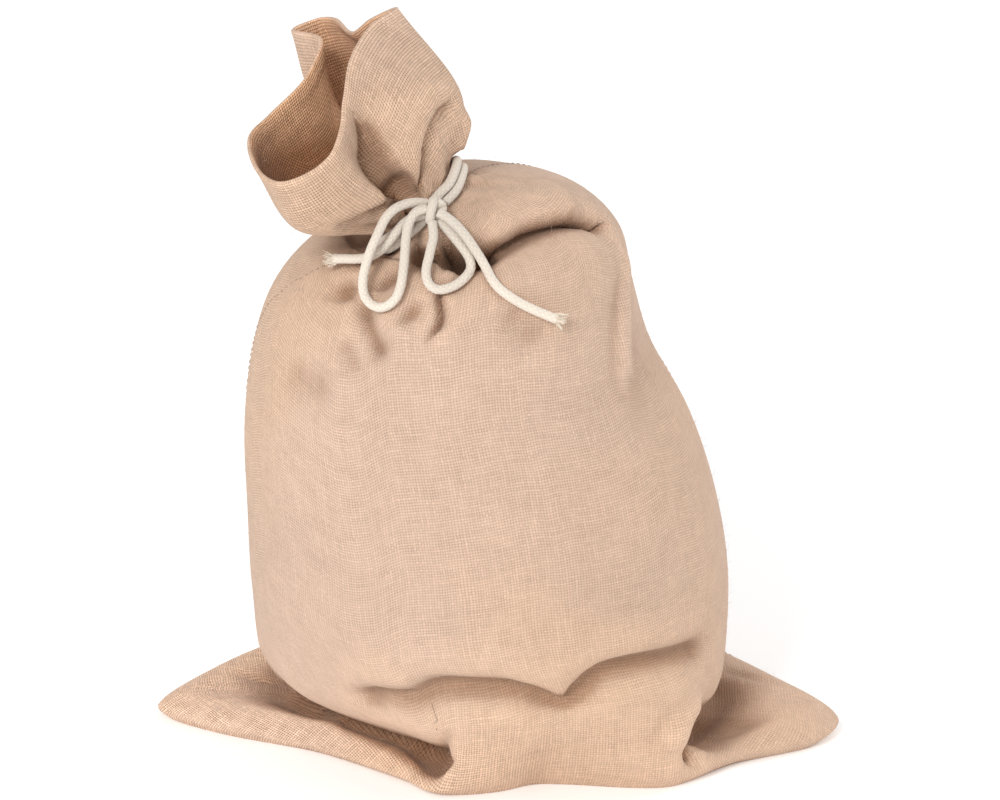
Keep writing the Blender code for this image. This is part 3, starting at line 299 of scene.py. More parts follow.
# The places that each free stretch passes, from the knot outwards or round and back to it.
CORD_ROUTES = {
    "bow_loop_left": (
        (-0.0521, -0.0954, 0.4984), (-0.0597, -0.0972, 0.4995), (-0.0682, -0.1002, 0.4985),
        (-0.0759, -0.1040, 0.4953), (-0.0817, -0.1074, 0.4899), (-0.0856, -0.1091, 0.4829),
        (-0.0891, -0.1111, 0.4750), (-0.0931, -0.1124, 0.4662), (-0.0963, -0.1132, 0.4571),
        (-0.0988, -0.1139, 0.4481), (-0.1003, -0.1155, 0.4393), (-0.0998, -0.1180, 0.4308),
        (-0.0966, -0.1216, 0.4245), (-0.0906, -0.1256, 0.4209), (-0.0839, -0.1284, 0.4207),
        (-0.0774, -0.1294, 0.4241), (-0.0722, -0.1281, 0.4297), (-0.0693, -0.1248, 0.4371),
        (-0.0680, -0.1203, 0.4449), (-0.0671, -0.1161, 0.4536), (-0.0666, -0.1121, 0.4633),
        (-0.0660, -0.1090, 0.4732), (-0.0645, -0.1074, 0.4820), (-0.0617, -0.1063, 0.4892),
        (-0.0574, -0.1050, 0.4943), (-0.0522, -0.1042, 0.4961),
    ),
    "bow_loop_right": (
        (-0.0450, -0.1049, 0.4839), (-0.0440, -0.1079, 0.4750), (-0.0458, -0.1108, 0.4659),
        (-0.0476, -0.1139, 0.4576), (-0.0490, -0.1173, 0.4511), (-0.0487, -0.1207, 0.4446),
        (-0.0457, -0.1235, 0.4389), (-0.0400, -0.1244, 0.4355), (-0.0330, -0.1227, 0.4357),
        (-0.0254, -0.1187, 0.4379), (-0.0186, -0.1135, 0.4424), (-0.0144, -0.1075, 0.4479),
        (-0.0154, -0.1049, 0.4555), (-0.0203, -0.1035, 0.4633), (-0.0260, -0.1025, 0.4704),
        (-0.0317, -0.1015, 0.4771), (-0.0382, -0.1004, 0.4846),
    ),
    "tail_left": (
        (-0.0528, -0.0980, 0.4898), (-0.0605, -0.0977, 0.4871), (-0.0677, -0.0988, 0.4831),
        (-0.0736, -0.1010, 0.4765), (-0.0793, -0.1014, 0.4690), (-0.0855, -0.1001, 0.4617),
        (-0.0930, -0.0986, 0.4556), (-0.1006, -0.0962, 0.4518), (-0.1091, -0.0923, 0.4495),
        (-0.1177, -0.0885, 0.4483), (-0.1275, -0.0845, 0.4467),
    ),
    "tail_right": (
        (-0.0375, -0.1069, 0.4932), (-0.0316, -0.1068, 0.4892), (-0.0244, -0.1066, 0.4826),
        (-0.0177, -0.1064, 0.4743), (-0.0117, -0.1060, 0.4651), (-0.0061, -0.1062, 0.4561),
        (-0.0011, -0.1089, 0.4479), (0.0041, -0.1157, 0.4412), (0.0105, -0.1204, 0.4354),
        (0.0183, -0.1226, 0.4302), (0.0264, -0.1228, 0.4252), (0.0360, -0.1233, 0.4205),
        (0.0464, -0.1231, 0.4160), (0.0560, -0.1228, 0.4119),
    ),
}
TAILS = ("tail_left", "tail_right")
CORD_STEP = 0.0055                   # spacing of the places that a cord is drawn through


# ---------------------------------------------------------------- curves
def ring_spline(turns, places, tension, columns):
    """Places on a closed smooth curve through the given ones, at evenly spaced turns."""
    turns = np.asarray(turns, float)
    places = np.asarray(places, float)
    slack = 1.0 - np.asarray(tension, float)[:, None]
    ahead = np.roll(turns, -1)
    ahead[-1] += 1.0
    behind = np.roll(turns, 1)
    behind[0] -= 1.0
    slopes = slack * (np.roll(places, -1, 0) - np.roll(places, 1, 0)) / (ahead - behind)[:, None]
    wanted = np.arange(columns) / columns
    index = np.searchsorted(turns, wanted, side="right") - 1
    span = (ahead - turns)[index][:, None]
    share = (wanted - turns[index])[:, None] / span
    following = (index + 1) % len(turns)
    return hermite(places[index], slopes[index] * span, places[following], slopes[following] * span, share)


def hermite(start, start_slope, end, end_slope, share):
    """The cubic between two places that leaves and arrives along the given slopes."""
    square, cube = share**2, share**3
    return (
        (2 * cube - 3 * square + 1) * start
        + (cube - 2 * square + share) * start_slope
        + (3 * square - 2 * cube) * end
        + (cube - square) * end_slope
    )


def loft(rings, stretches):
    """Rows between rings, along smooth lines that pass through every ring.

    stretches[i] lists the rows from ring i to ring i + 1, each as its share of the way, and the
    last ring closes the list.
    """
    rings = np.asarray(rings, float)
    steps = np.sqrt(np.maximum(np.linalg.norm(np.diff(rings, axis=0), axis=2), 1e-6))
    knots = np.concatenate([np.zeros((1, rings.shape[1])), np.cumsum(steps, axis=0)])
    slopes = np.empty_like(rings)
    for i in range(len(rings)):
        low, high = max(i - 1, 0), min(i + 1, len(rings) - 1)
        if low < i < high:
            before = (rings[i] - rings[low]) / (knots[i] - knots[low])[:, None]
            after = (rings[high] - rings[i]) / (knots[high] - knots[i])[:, None]
            weight = ((knots[i] - knots[low]) / (knots[high] - knots[low]))[:, None]
            slopes[i] = before * (1 - weight) + after * weight
        else:
            slopes[i] = (rings[high] - rings[low]) / (knots[high] - knots[low])[:, None]
    rows = []
    for i, shares in enumerate(stretches):
        span = (knots[i + 1] - knots[i])[:, None]
        for share in shares:
            rows.append(hermite(rings[i], slopes[i] * span, rings[i + 1], slopes[i + 1] * span, share))
    rows.append(rings[-1])
    return np.array(rows)


def even_line(places, spacing):
    """Evenly spaced places on the smooth line through the given ones."""
    places = np.asarray(places, float)
    line = loft(places[:, None, :], [EVEN_STEPS] * (len(places) - 1))[:, 0]
    length = np.concatenate([[0.0], np.cumsum(np.linalg.norm(np.diff(line, axis=0), axis=1))])
    wanted = np.linspace(0.0, length[-1], max(round(length[-1] / spacing), 2) + 1)
    return np.stack([np.interp(wanted, length, values) for values in line.T], axis=1)


# ---------------------------------------------------------------- the sack's rows
def base_rings(columns):
    """The rings on the floor, then the edge, the crest, the tuck and the wall above it."""
    turns = [row[1] for row in BASE_DIRECTIONS]
    tension = [row[3] for row in BASE_DIRECTIONS]
    rings = []
    for part in range(4, 8):
        places = []
        for row in BASE_DIRECTIONS:
            bearing = math.radians(row[2])
            reach, height = row[part]
            places.append((reach * math.cos(bearing), reach * math.sin(bearing), height))
        sharpness = tension if part < 6 else [0.0] * len(tension)
        rings.append(ring_spline(turns, places, sharpness, columns))
    return rings


def body_ring(level, columns):
    """The closed outline of one level of the body."""
    _, z_right, z_back, z_left, z_front, right, left, front, back, square = level
    angle = TURN * np.arange(columns) / columns
    along, across = np.cos(angle), np.sin(angle)
    bulge = 2.0 / square
    x = (right + left) / 2 + (right - left) / 2 * np.sign(along) * np.abs(along) ** bulge
    y = (front + back) / 2 + (back - front) / 2 * np.sign(across) * np.abs(across) ** bulge
    side = np.where(along > 0, z_right, z_left)
    face = np.where(across > 0, z_back, z_front)
    z = side * along**2 + face * across**2
    return np.stack([x, y, z], axis=1)


def flare_rings(columns):
    """The rings of the neck, of the middle of the flare and of the hem."""
    turns = [row[1] for row in FLARE_LINES]
    smooth = [0.0] * len(turns)
    return [
        ring_spline(turns, [row[part] for row in FLARE_LINES], smooth, columns) for part in (2, 3, 4)
    ]


def neck_axis(neck):
    """The direction in which the neck runs, square to its ring."""
    spokes = neck - neck.mean(axis=0)
    axis = np.cross(spokes, np.roll(spokes, -1, axis=0)).sum(axis=0)
    return axis / np.linalg.norm(axis)


def smooth_sheet(columns, finer):
    """The sack's outside before it is folded: the foot, its rows, and the level of each row."""
    edge, crest, tuck, wall = base_rings(columns)
    reach = np.linalg.norm(edge[:, :2], axis=1, keepdims=True)
    foot = edge * (1 - EDGE_INSET / reach)
    foot[:, 2] = 0.0
    body = [body_ring(level, columns) for level in BODY_LEVELS]
    neck, middle, hem = flare_rings(columns)
    rise = neck_axis(neck) * NECK_HALF
    rings = [foot, edge, crest, tuck, wall] + body + [neck - rise, neck, neck + rise, middle, hem]
    low, high = NECK_LEVEL - NECK_REACH, NECK_LEVEL + NECK_REACH
    ring_levels = [*range(NECK_LEVEL), low, NECK_LEVEL, high, NECK_LEVEL + 1, NECK_LEVEL + 2]
    stretches = [EDGE_ROWS] + [LEVEL_ROWS] * (NECK_LEVEL - 2) + [COLLAR_ROWS]
    stretches += [NECK_ROWS] * 2 + [MOUTH_ROWS, FLARE_ROWS]
    shares, levels = [], []
    for i, rows in enumerate(stretches):
        steps = np.arange(len(rows) * finer) / finer
        shares.append(np.interp(steps, np.arange(len(rows) + 1), (*rows, 1.0)))
        levels.extend(ring_levels[i] + shares[i] * (ring_levels[i + 1] - ring_levels[i]))
    return foot, loft(rings, shares), np.array(levels + ring_levels[-1:])


def outward(sheet):
    """The outward direction at every place of the sheet."""
    round_it = np.roll(sheet, -1, axis=1) - np.roll(sheet, 1, axis=1)
    up_it = np.gradient(sheet, axis=0)
    normal = np.cross(round_it, up_it)
    return normal / np.maximum(np.linalg.norm(normal, axis=2, keepdims=True), 1e-12)


def fold_route(route, sheet, levels, spacing=0.002):
    """Closely spaced places along a fold's route, with their turns and levels."""
    route = np.asarray(route, float)
    rough = loft(np.stack([route, route], axis=1), [EVEN_STEPS] * (len(route) - 1))[:, 0]
    turns, heights = rough[:, 0], rough[:, 1]
    column = (turns % 1.0) * sheet.shape[1]
    row = np.interp(heights, levels, np.arange(len(levels)))
    c0, r0 = np.floor(column).astype(int), np.minimum(np.floor(row).astype(int), len(levels) - 2)
    u, v = (column - c0)[:, None], (row - r0)[:, None]
    c0 %= sheet.shape[1]
    c1 = (c0 + 1) % sheet.shape[1]
    line = (sheet[r0, c0] * (1 - u) + sheet[r0, c1] * u) * (1 - v)
    line += (sheet[r0 + 1, c0] * (1 - u) + sheet[r0 + 1, c1] * u) * v
    length = np.concatenate([[0.0], np.cumsum(np.linalg.norm(np.diff(line, axis=0), axis=1))])
    wanted = np.linspace(0.0, length[-1], max(int(length[-1] / spacing), 8))
    even = [np.interp(wanted, length, values) for values in (*line.T, turns, heights)]
    return np.stack(even[:3], axis=1), even[3], even[4]


def fade_in(share):
    """0 at 0 and 1 at 1 and beyond, with no corner."""
    share = np.clip(share, 0.0, 1.0)
    return share * share * (3.0 - 2.0 * share)


def press_folds(sheet, levels, folds, bluntest):
    """The sheet with every fold of the table pressed into it, none narrower than bluntest."""
    normal = outward(sheet)
    flat, flat_normal = sheet.reshape(-1, 3), normal.reshape(-1, 3)
    level = np.repeat(levels, sheet.shape[1])
    turn = np.tile(np.arange(sheet.shape[1]) / sheet.shape[1], len(levels))
    shift = np.zeros_like(flat)
    for _, depth, left, right, lap, crisp, fade, route in folds:
        left, right = max(left, bluntest), max(right, bluntest)
        line, line_turn, line_level = fold_route(route, sheet, levels)
        reach = FOLD_REACH * max(left, right)
        near = np.all((flat > line.min(0) - reach) & (flat < line.max(0) + reach), axis=1)
        near &= (level > line_level.min() - FOLD_LEVELS) & (level < line_level.max() + FOLD_LEVELS)
        near = np.flatnonzero(near)
        if not len(near):
            continue
        apart = np.linalg.norm(flat[near, None, :] - line[None, :, :], axis=2)
        closest = apart.argmin(axis=1)
        round_gap = np.abs((turn[near] - line_turn[closest] + 0.5) % 1.0 - 0.5)
        along = np.gradient(line, axis=0)[closest]
        side = np.cross(flat_normal[near], along)
        side /= np.maximum(np.linalg.norm(side, axis=1, keepdims=True), 1e-12)
        offset = flat[near] - line[closest]
        signed = apart[np.arange(len(near)), closest] * np.sign(np.sum(offset * side, axis=1))
        width = np.where(signed > 0, left, right)
        share = closest / (len(line) - 1)
        strength = fade_in(share / fade) * fade_in((1 - share) / fade) * (round_gap < FOLD_TURNS)
        across = np.abs(signed) / width
        lip = np.where(signed > 0, across * np.exp(1 - across), 0.0)
        shift[near] -= flat_normal[near] * (depth * np.exp(-(across**crisp)) * strength)[:, None]
        shift[near] -= side * (lap * lip * strength)[:, None]
    return (flat + shift).reshape(sheet.shape)


def press_pleats(sheet, levels):
    """The sheet with the pleats that the tie gathers, deepest at the neck."""
    run = np.where(levels < NECK_LEVEL, PLEAT_RUN_BODY, PLEAT_RUN_MOUTH)
    strength = fade_in(1 - np.abs(levels - NECK_LEVEL) / run)[:, None, None]
    angle = TURN * np.arange(sheet.shape[1]) / sheet.shape[1]
    wave = np.cos(PLEATS * angle + PLEAT_DRIFT * np.sin(3 * angle) + 2 * PLEAT_DRIFT * np.sin(angle))
    wave *= PLEAT_WEAKEST + (1 - PLEAT_WEAKEST) * (0.5 + 0.5 * np.cos(angle - TURN * PLEAT_CENTRE))
    return sheet + outward(sheet) * (PLEAT_DEPTH * wave)[None, :, None] * strength


def make_way(sheet, normal, levels, lines, radius):
    """The sheet pressed inwards wherever a cord's line passes nearer over it than radius."""
    upper = np.flatnonzero((levels > TIED_LEVELS[0]) & (levels < TIED_LEVELS[1]))
    patch = sheet[upper].reshape(-1, 3)
    normal = normal[upper].reshape(-1, 3)
    for line in lines:
        apart = np.linalg.norm(patch[:, None, :] - line[None, :, :], axis=2)
        offset = patch - line[apart.argmin(axis=1)]
        out = np.sum(offset * normal, axis=1)
        beside = (np.sum(offset * offset, axis=1) - out**2) / (GROOVE_WIDTH * radius) ** 2
        room = radius * (1.0 - beside)
        covered = (beside < 1.0) & (apart.min(axis=1) < GROOVE_REACH * radius) & (out > -room)
        patch = patch - normal * (np.where(covered, out + room, 0.0))[:, None]
    sheet = sheet.copy()
    sheet[upper] = patch.reshape(sheet[upper].shape)
    return sheet


def wrap_line(sheet, levels):
    """The line of the cord's two turns round the neck, side by side on its cloth."""
    neck = sheet[np.abs(levels - NECK_LEVEL).argmin()]
    axis = neck_axis(neck)
    out = np.cross(np.roll(neck, -1, axis=0) - np.roll(neck, 1, axis=0), axis)
    seat = neck + out / np.linalg.norm(out, axis=1, keepdims=True) * WRAP_LIFT
    seat = np.concatenate([seat, seat[:1]])
    turns = np.linspace(WRAP_START, WRAP_END, WRAP_PLACES)
    columns = np.arange(len(seat)) / (len(seat) - 1)
    places = np.stack([np.interp(turns % 1.0, columns, values) for values in seat.T], axis=1)
    crossed = fade_in((turns - WRAP_CROSSING[0]) / (WRAP_CROSSING[1] - WRAP_CROSSING[0]))
    rise = (crossed - 0.5)[:, None] * WRAP_PITCH
    return even_line((places + axis * rise)[::WRAP_EVERY], WRAP_STEP)


def tie_lines(sheet, levels):
    """The line of each stretch of the cord, by name."""
    lines = {"tie_wrap": wrap_line(sheet, levels)}
    for name, route in CORD_ROUTES.items():
        lines[name] = even_line(route, CORD_STEP)
    return lines


def sack_rows(columns, finer=1):
    """The rows under the foot and the folded rows of the sack's outside, up to the hem."""
    bluntest = BLUNTEST_FOLD / finer
    foot, sheet, levels = smooth_sheet(columns, finer)
    under = [foot * share for share in UNDER_SHARES]
    lines = tie_lines(sheet, levels)
    normal = outward(sheet)
    sheet = press_pleats(press_folds(sheet, levels, FOLDS, bluntest), levels)
    close_lines = [even_line(line, CORD_STEP / 4) for line in lines.values()]
    sheet = make_way(sheet, normal, levels, close_lines, CORD / 2 + GAP + CLOTH_GIVE)
    sheet[0] = foot
    sheet[:, :, 2] = np.maximum(sheet[:, :, 2], 0.0)
    return under, sheet, levels, lines


# ---------------------------------------------------------------- the cloth's finer shape
HEM_BAND = 0.012           # how deep the hem is folded in
HEM_WALL = 0.0036          # thickness of the cloth there, and beyond it
SINGLE_WALL = 0.0024
HEM_STEP = 0.0015          # the run over which the cloth thins from one to the other
HEM_ROUND = 0.0011         # how far the fold of the hem stands up
HEM_SHARES = (0.2, 0.5, 0.8)   # rows over the hem, as shares of its thickness
HEM_WORN_AND_LIT = 0.0030          # how far down the hem's edge is painted paler, as wear and painted highlight
EASE_ROUNDS = 300          # rounds in which the cloth is flattened, for its weave
EASE_EVERY = 4             # columns and rows of the fine grid from one flattened place to the next
EASE_PUSH = 1.6            # how much of the pull on each place a round follows
EASE_SMOOTH = 3            # rounds from one smoothing of the moves to the next
EASE_BLEND = 12            # rows over which a panel's own width takes over from its foot's
RISE_ROUNDS = 2000         # rounds in which the length of the cloth that is drawn in is evened out
GATHER_LEVEL = 9.5         # above this level the cloth is drawn in towards the neck
GATHER_SHARE = 0.5         # how much of that narrowing its weave follows, as a power
RELIEF_STEP = 4            # columns and rows over which a ridge or a hollow is felt
RELIEF_HEIGHT = 0.0028     # how high a ridge is that is painted palest, or how deep a hollow that is painted darkest
RELIEF_ROUNDS = 3          # rounds in which ridges and hollows are softened
SHADE_REACH = 0.150        # how near other cloth shuts a place in
SHADE_RAYS = 24            # directions in which that is looked for
SHADE_EVERY = 2            # columns and rows from one place looked at to the next
SHADE_LIFT = 0.0008        # how far off the cloth the looking starts
GOLDEN_ANGLE = 2.39996     # from one direction to the next, which spreads them evenly
ANY_WAY = (0.31, 0.17, 0.93)   # a direction along which no part of the cloth faces
PANEL_APART = (0.0, 3.0)   # how far the front panel's weave map lies from the back's
MOUTH_APART = (5.0, 0.0)   # and the mouth's from the body's

# How much painted shade the cloth gets by the share of open air that is shut off there, outside and in the
# mouth
SHADE_OUTSIDE = ((0.28, 0.48, 0.70, 0.95), (0.0, 0.60, 0.90, 0.70))
SHADE_WITHIN = ((0.35, 0.60, 0.85), (0.0, 0.05, 0.20))
MOUTH_HEIGHTS = ((0.520, 0.548), (0.90, 0.0))      # and how much painted shade the mouth gets, more the lower it is
HOLLOW_SHADE = 0.60                                # and how much painted shade a sharp hollow gets
FLOOR_LIGHT_LEVELS = ((3.0, 4.8), (0.62, 0.0))           # how pale the cloth near the floor is painted, as painted light
RIDGE_WEAR_AND_HIGHLIGHT = 0.35                                  # and a ridge, as wear and painted highlight
LEFTWARD = 0.85            # how much more the left ear has of the painted light and the looseness that the ears have, and the right less
# How loose the weave is: by level, and on the floor also by turn, most at the left ear
LOOSE_LEVELS = ((4.0, 5.0, 11.5, 13.5), (0.0, 0.20, 0.30, 0.90))
LOOSE_EARS = ((2.5, 4.5), (0.75, 0.0))

# Stitches and thick yarns: spacing, length and thickness of their pieces, and their routes on the
# cloth, in turns and levels
THREADS = [
    ("seam_left", 0.0062, 0.0036, 0.0013,
     ((0.495, 1.02), (0.455, 1.02), (0.425, 1.10), (0.400, 1.50), (0.395, 2.20), (0.405, 3.00),
      (0.440, 4.20), (0.484, 5.50), (0.506, 7.00), (0.520, 8.20), (0.545, 9.10), (0.575, 9.90),
      (0.600, 10.70), (0.600, 11.60))),
    ("seam_right", 0.0062, 0.0036, 0.0013,
     ((1.005, 1.05), (1.045, 1.15), (1.070, 1.45), (1.085, 2.20), (1.080, 3.00), (1.066, 4.20),
      (1.055, 5.50), (1.052, 7.00), (1.058, 8.50), (1.070, 9.50), (1.098, 10.20), (1.140, 10.80),
      (1.165, 11.30), (1.180, 12.00))),
    ("slub_upper", 0.0020, 0.0026, 0.0009,
     ((0.7085, 4.27), (0.7085, 4.18), (0.7078, 4.08))),
    ("slub_lower", 0.0020, 0.0026, 0.0009,
     ((0.7060, 4.01), (0.7058, 3.97))),
]

THREAD_STEP = 0.004        # spacing of the places that their routes are drawn through
THREAD_LIFT = 0.0001       # how far their middle stands off the cloth
THREAD_SEED = 4
STITCH_FINENESS = (8, 6)   # segments and rings of a stitch
STITCH_SIZES = ((0.80, 0.85, 0.80), (1.15, 1.20, 1.20))    # its least and its largest, as shares

FIBRE_THICKNESS = 0.00011
FIBRE_LOWEST = 0.012       # no loose fibre starts lower than this
FIBRE_SEED, FIBRE_LENGTH_SEED = 7, 9
FIBRE_SIDES, FIBRE_PARTS = 3, 4
# The start, middle and end of a fibre one metre long: it starts in the cloth and bends aside
FIBRE_BEND = ((0.0, 0.0, -0.05), (0.1, 0.0, 0.5), (0.6, 0.1, 0.7))
FIBRE_LEAN = 0.9           # how far it may lean either way, in radians
FIBRE_SHORTEST = 0.35      # as a share of the longest

# ---------------------------------------------------------------- the cord's finer shape
RING_STEP = 0.0009         # from one ring of a cord's tube to the next
CORD_SIDES = 30
PLAITS = 5                 # how many plaits show round half of the cord
PLAIT_LAY = 0.0052         # length of one plait along the cord
PLAIT_RELIEF = 0.045       # how far they stand out, as a share of the radius
KNOT_REACH = 0.016         # a cord whose end is nearer to the knot's middle runs into the knot
KNOT_RUN = 0.003           # by this much
KNOT_TURN = 0.4            # and turns this much of the way towards its middle
KNOT_ROWS, KNOT_COLUMNS = 40, 72
# The two turns of the knot, one under the other, and the crease between them on the right
CREASE_SLOPE, CREASE_HEIGHT = 0.25, 0.0005
CREASE_WIDTH, CREASE_SWELL = 0.0013, 0.0012
STRAND_STEPS = 8           # places along the strand that binds the knot, less one
STRAND_SPAN = (0.10, 0.90)     # its ends, as shares of the way up over the knot
STRAND_INSET = 0.0014      # how far short of the knot's top and foot it stays
STRAND_BEND = 0.8          # how fully it follows the knot's front
STRAND_TUCK = 0.0025       # how far its ends go into the knot

# The frayed ends: least sizes of a strand, and how much more it may have
FRAY_LENGTH = (0.0072, 0.0042)
FRAY_FLARE = (0.0036, 0.0026)  # how far the outermost spread
FRAY_RADIUS = (0.00040, 0.00022)
FRAY_ROOT = 0.0040         # how far inside the cord they start
FRAY_FILL = 0.44           # how much of the cord's diameter they take up, to each side
FRAY_DROOP = 0.0016        # how far they may sag
FRAY_WAVE = 0.0006         # how far they wave, and through what angle
FRAY_WAVE_RUN = 5.0
FRAY_CURL = 1.5            # how late they turn outwards
FRAY_TAPER = 0.55          # the share of its thickness that a strand loses
FRAY_SIDES, FRAY_RINGS = 5, 6
FRAY_SEED = 3

# ---------------------------------------------------------------- the camera and the lights
CAMERA_PLACE = (0.2056, -2.9152, 1.3338)
CAMERA_TARGET = (-0.0048, 0.0939, 0.2656)
CAMERA_LENS, CAMERA_SENSOR = 132.48, 36.0      # millimetres
FLOOR_HALF = 12.0          # half the floor's width
LIGHT_SIZE = 1.0
LIGHT_TARGET = (0.0, 0.0, 0.28)
LIGHTS = [
    # name   place             watts colour
    ("key", (-1.0, -2.7, 2.15), 59.0, (1.0, 0.99, 0.97)),
    ("rim", (2.2, 1.2, 1.4), 20.0, (1.0, 1.0, 1.0)),
]
SKY_STRENGTH = 0.75


# ---------------------------------------------------------------- settings
class SackSettings(bpy.types.PropertyGroup):
    """Sizes and colours of the sack, its cord and its stage."""

    yarn_pitch: FloatProperty(
        name="Yarn pitch",
        description="From one jute yarn to the next",
        default=0.0023,
        min=0.001,
        max=0.01,
        precision=4,
        unit="LENGTH",
    )
    yarn_relief: FloatProperty(
        name="Yarn relief",
        description="How far the yarns stand out of the cloth",
        default=0.0006,
        min=0.0,
        max=0.003,
        precision=4,
        unit="LENGTH",
    )
    jute_colour: FloatVectorProperty(
        name="Jute",
        description="Colour of the jute where it is clean and lit",
        default=(0.655, 0.470, 0.360),
        min=0.0,
        max=1.0,
        size=3,
        subtype="COLOR",
    )
    # painted shade: the dark that shows through the holes between the yarns
    hole_shade_colour: FloatVectorProperty(
        name="Jute shade",
        description="Colour of the jute in the holes between its yarns",
        default=(0.20, 0.105, 0.055),
        min=0.0,
        max=1.0,
        size=3,
        subtype="COLOR",
    )
    cotton_colour: FloatVectorProperty(
        name="Cotton",
        description="Colour of the cord",
        default=(0.82, 0.735, 0.635),
        min=0.0,
        max=1.0,
        size=3,
        subtype="COLOR",
    )
    fibre_density: FloatProperty(
        name="Fibre density",
        description="Loose fibres to the square metre of cloth",
        default=3600.0,
        min=0.0,
        max=20000.0,
    )
    fibre_length: FloatProperty(
        name="Fibre length",
        description="Length of the longest loose fibres",
        default=0.007,
        min=0.001,
        max=0.03,
        precision=4,
        unit="LENGTH",
    )
    fray_strands: IntProperty(
        name="Fray strands",
        description="Strands at each frayed end of the cord",
        default=54,
        min=8,
        max=200,
    )


# ---------------------------------------------------------------- the finishes
# What a dye, or painted light or shade, leaves of the red, green and blue under it
CLEAN = (1.0, 1.0, 1.0)
BLUSH_DYE = (1.0, 0.965, 0.90)     # yellower patches of the jute
LINING_BOUNCE_LIGHT = (1.22, 1.08, 0.92)    # the inside of the mouth, warmer as painted bounce light
PAINTED_SHADE_TINT = (0.44, 0.31, 0.215)    # painted shade where it is deepest: in hollows, and low in the mouth
GROOVE_SHADE_TINT = (0.88, 0.84, 0.79)    # painted shade between the plaits of the cord
FRAY_DYE = (0.86, 0.82, 0.76)
FRAY_PALE = (1.06, 1.06, 1.06)
WORN_AND_LIT_LIFT = 0.30                   # how much paler the jute is where it is wholly worn or lit: wear, painted highlight and painted light
JUTE_BLOOM = (1.0, 0.93, 0.86)
THREAD_SHARES = (0.42, 0.72)       # a thick yarn's two tones, as shares of the jute's colour
FIBRE_SHARE, FIBRE_LIFT = 1.1, 0.04    # a loose fibre's pale tone: that share of it, and so much more
DULL_GLOSS = 0.25                  # how much a fuzzy surface mirrors

# The values of a noise between which one tone passes into the other
BLUSH_STEP, THREAD_TONES = (0.35, 0.65), (0.3, 0.7)

# Noises: waves to the metre, then detail and roughness
SWAY, SHAKE = (28.0, 3.0), (170.0, 1.0)        # slow and quick drift of the yarns
YARN_SELF = (5.0, 2.0, 0.6)                    # each yarn's own thickness and tone, along it
PATCHES, BLUSH, GRAIN = (9.0, 3.0), (4.0, 1.0), (900.0, 2.0)
OPENNESS = (55.0, 2.0)                         # how open the holes are
FLUFF, SMUDGE = (1400.0, 3.0, 0.7), (60.0, 2.0)    # the cord's fibres and its tone
MOTTLE = (3.0, 2.0)                            # the floor's

# The weave, in yarns
SWAY_REACH = (1.1, 1.0)            # how far the warp sways one way and the weft the other
SHAKE_REACH = 0.34
WARP_SEED, WEFT_SEED = 3.0, 41.0
YARN_APART, YARN_SLOW = 0.731, 0.02    # from one yarn to the next in their noise, and along one
YARN_FULL = 0.16                   # how much wider a thick yarn's flat top is than a thin one's
YARN_SIDE = (0.10, 0.42)           # where its side starts and ends, from its middle
YARN_MIDDLE, YARN_SWING = 0.56, 0.44   # its mean height, and how far it rises and dips
CROSSOVER = 0.05                   # how much higher a yarn is where it alone shows
HOLE_HEIGHTS = (0.12, 0.80)        # below the first it is all hole, above the second none
TIGHT_TONES, LOOSE_TONES = 0.36, 0.44  # how much yarns differ in tone, and more in loose cloth
PATCH_TONES, GRAIN_TONES = 0.20, 0.16
HOLES_LEAST, HOLES_MORE = 0.18, 0.50   # how dark the holes are painted, as the shade behind them
TIGHT_HOLES, LOOSE_HOLES, LINING_HOLES = 0.72, 1.1, 0.9

# The cord
GROOVE_EDGE = 0.45                 # how wide the grooves between plaits are
FIBRES_ACROSS = 2.5                # fibre bundles to the plait
CORD_HEIGHTS = (0.70, 0.25, 0.45)  # how far its plaits, fibre bundles and fluff stand out
CORD_TONES = (0.92, 0.10, 0.06)    # its darkest tone, and what smudges and fluff add to that
GROOVE_SHADE_SHARE = 0.40                 # how much of a groove's colour is the painted shade's
KNOT_SHADE = 0.20                     # how much darker the cord is painted at the knot, as shade
KNOT_SHADE_REACH = (0.01, 0.10)       # and from where to where, from the knot's middle

# The floor. Its far part glows a little more, since less of the light reaches it
FLOOR_TONES = ((0.90, 0.90, 0.90), (0.92, 0.92, 0.92))
FLOOR_GLOW, GLOW_NEAR = 0.30, (0.65, 0.65, 0.65)
GLOW_REACH = (0.6, 3.5)            # from where to where that changes, towards the back


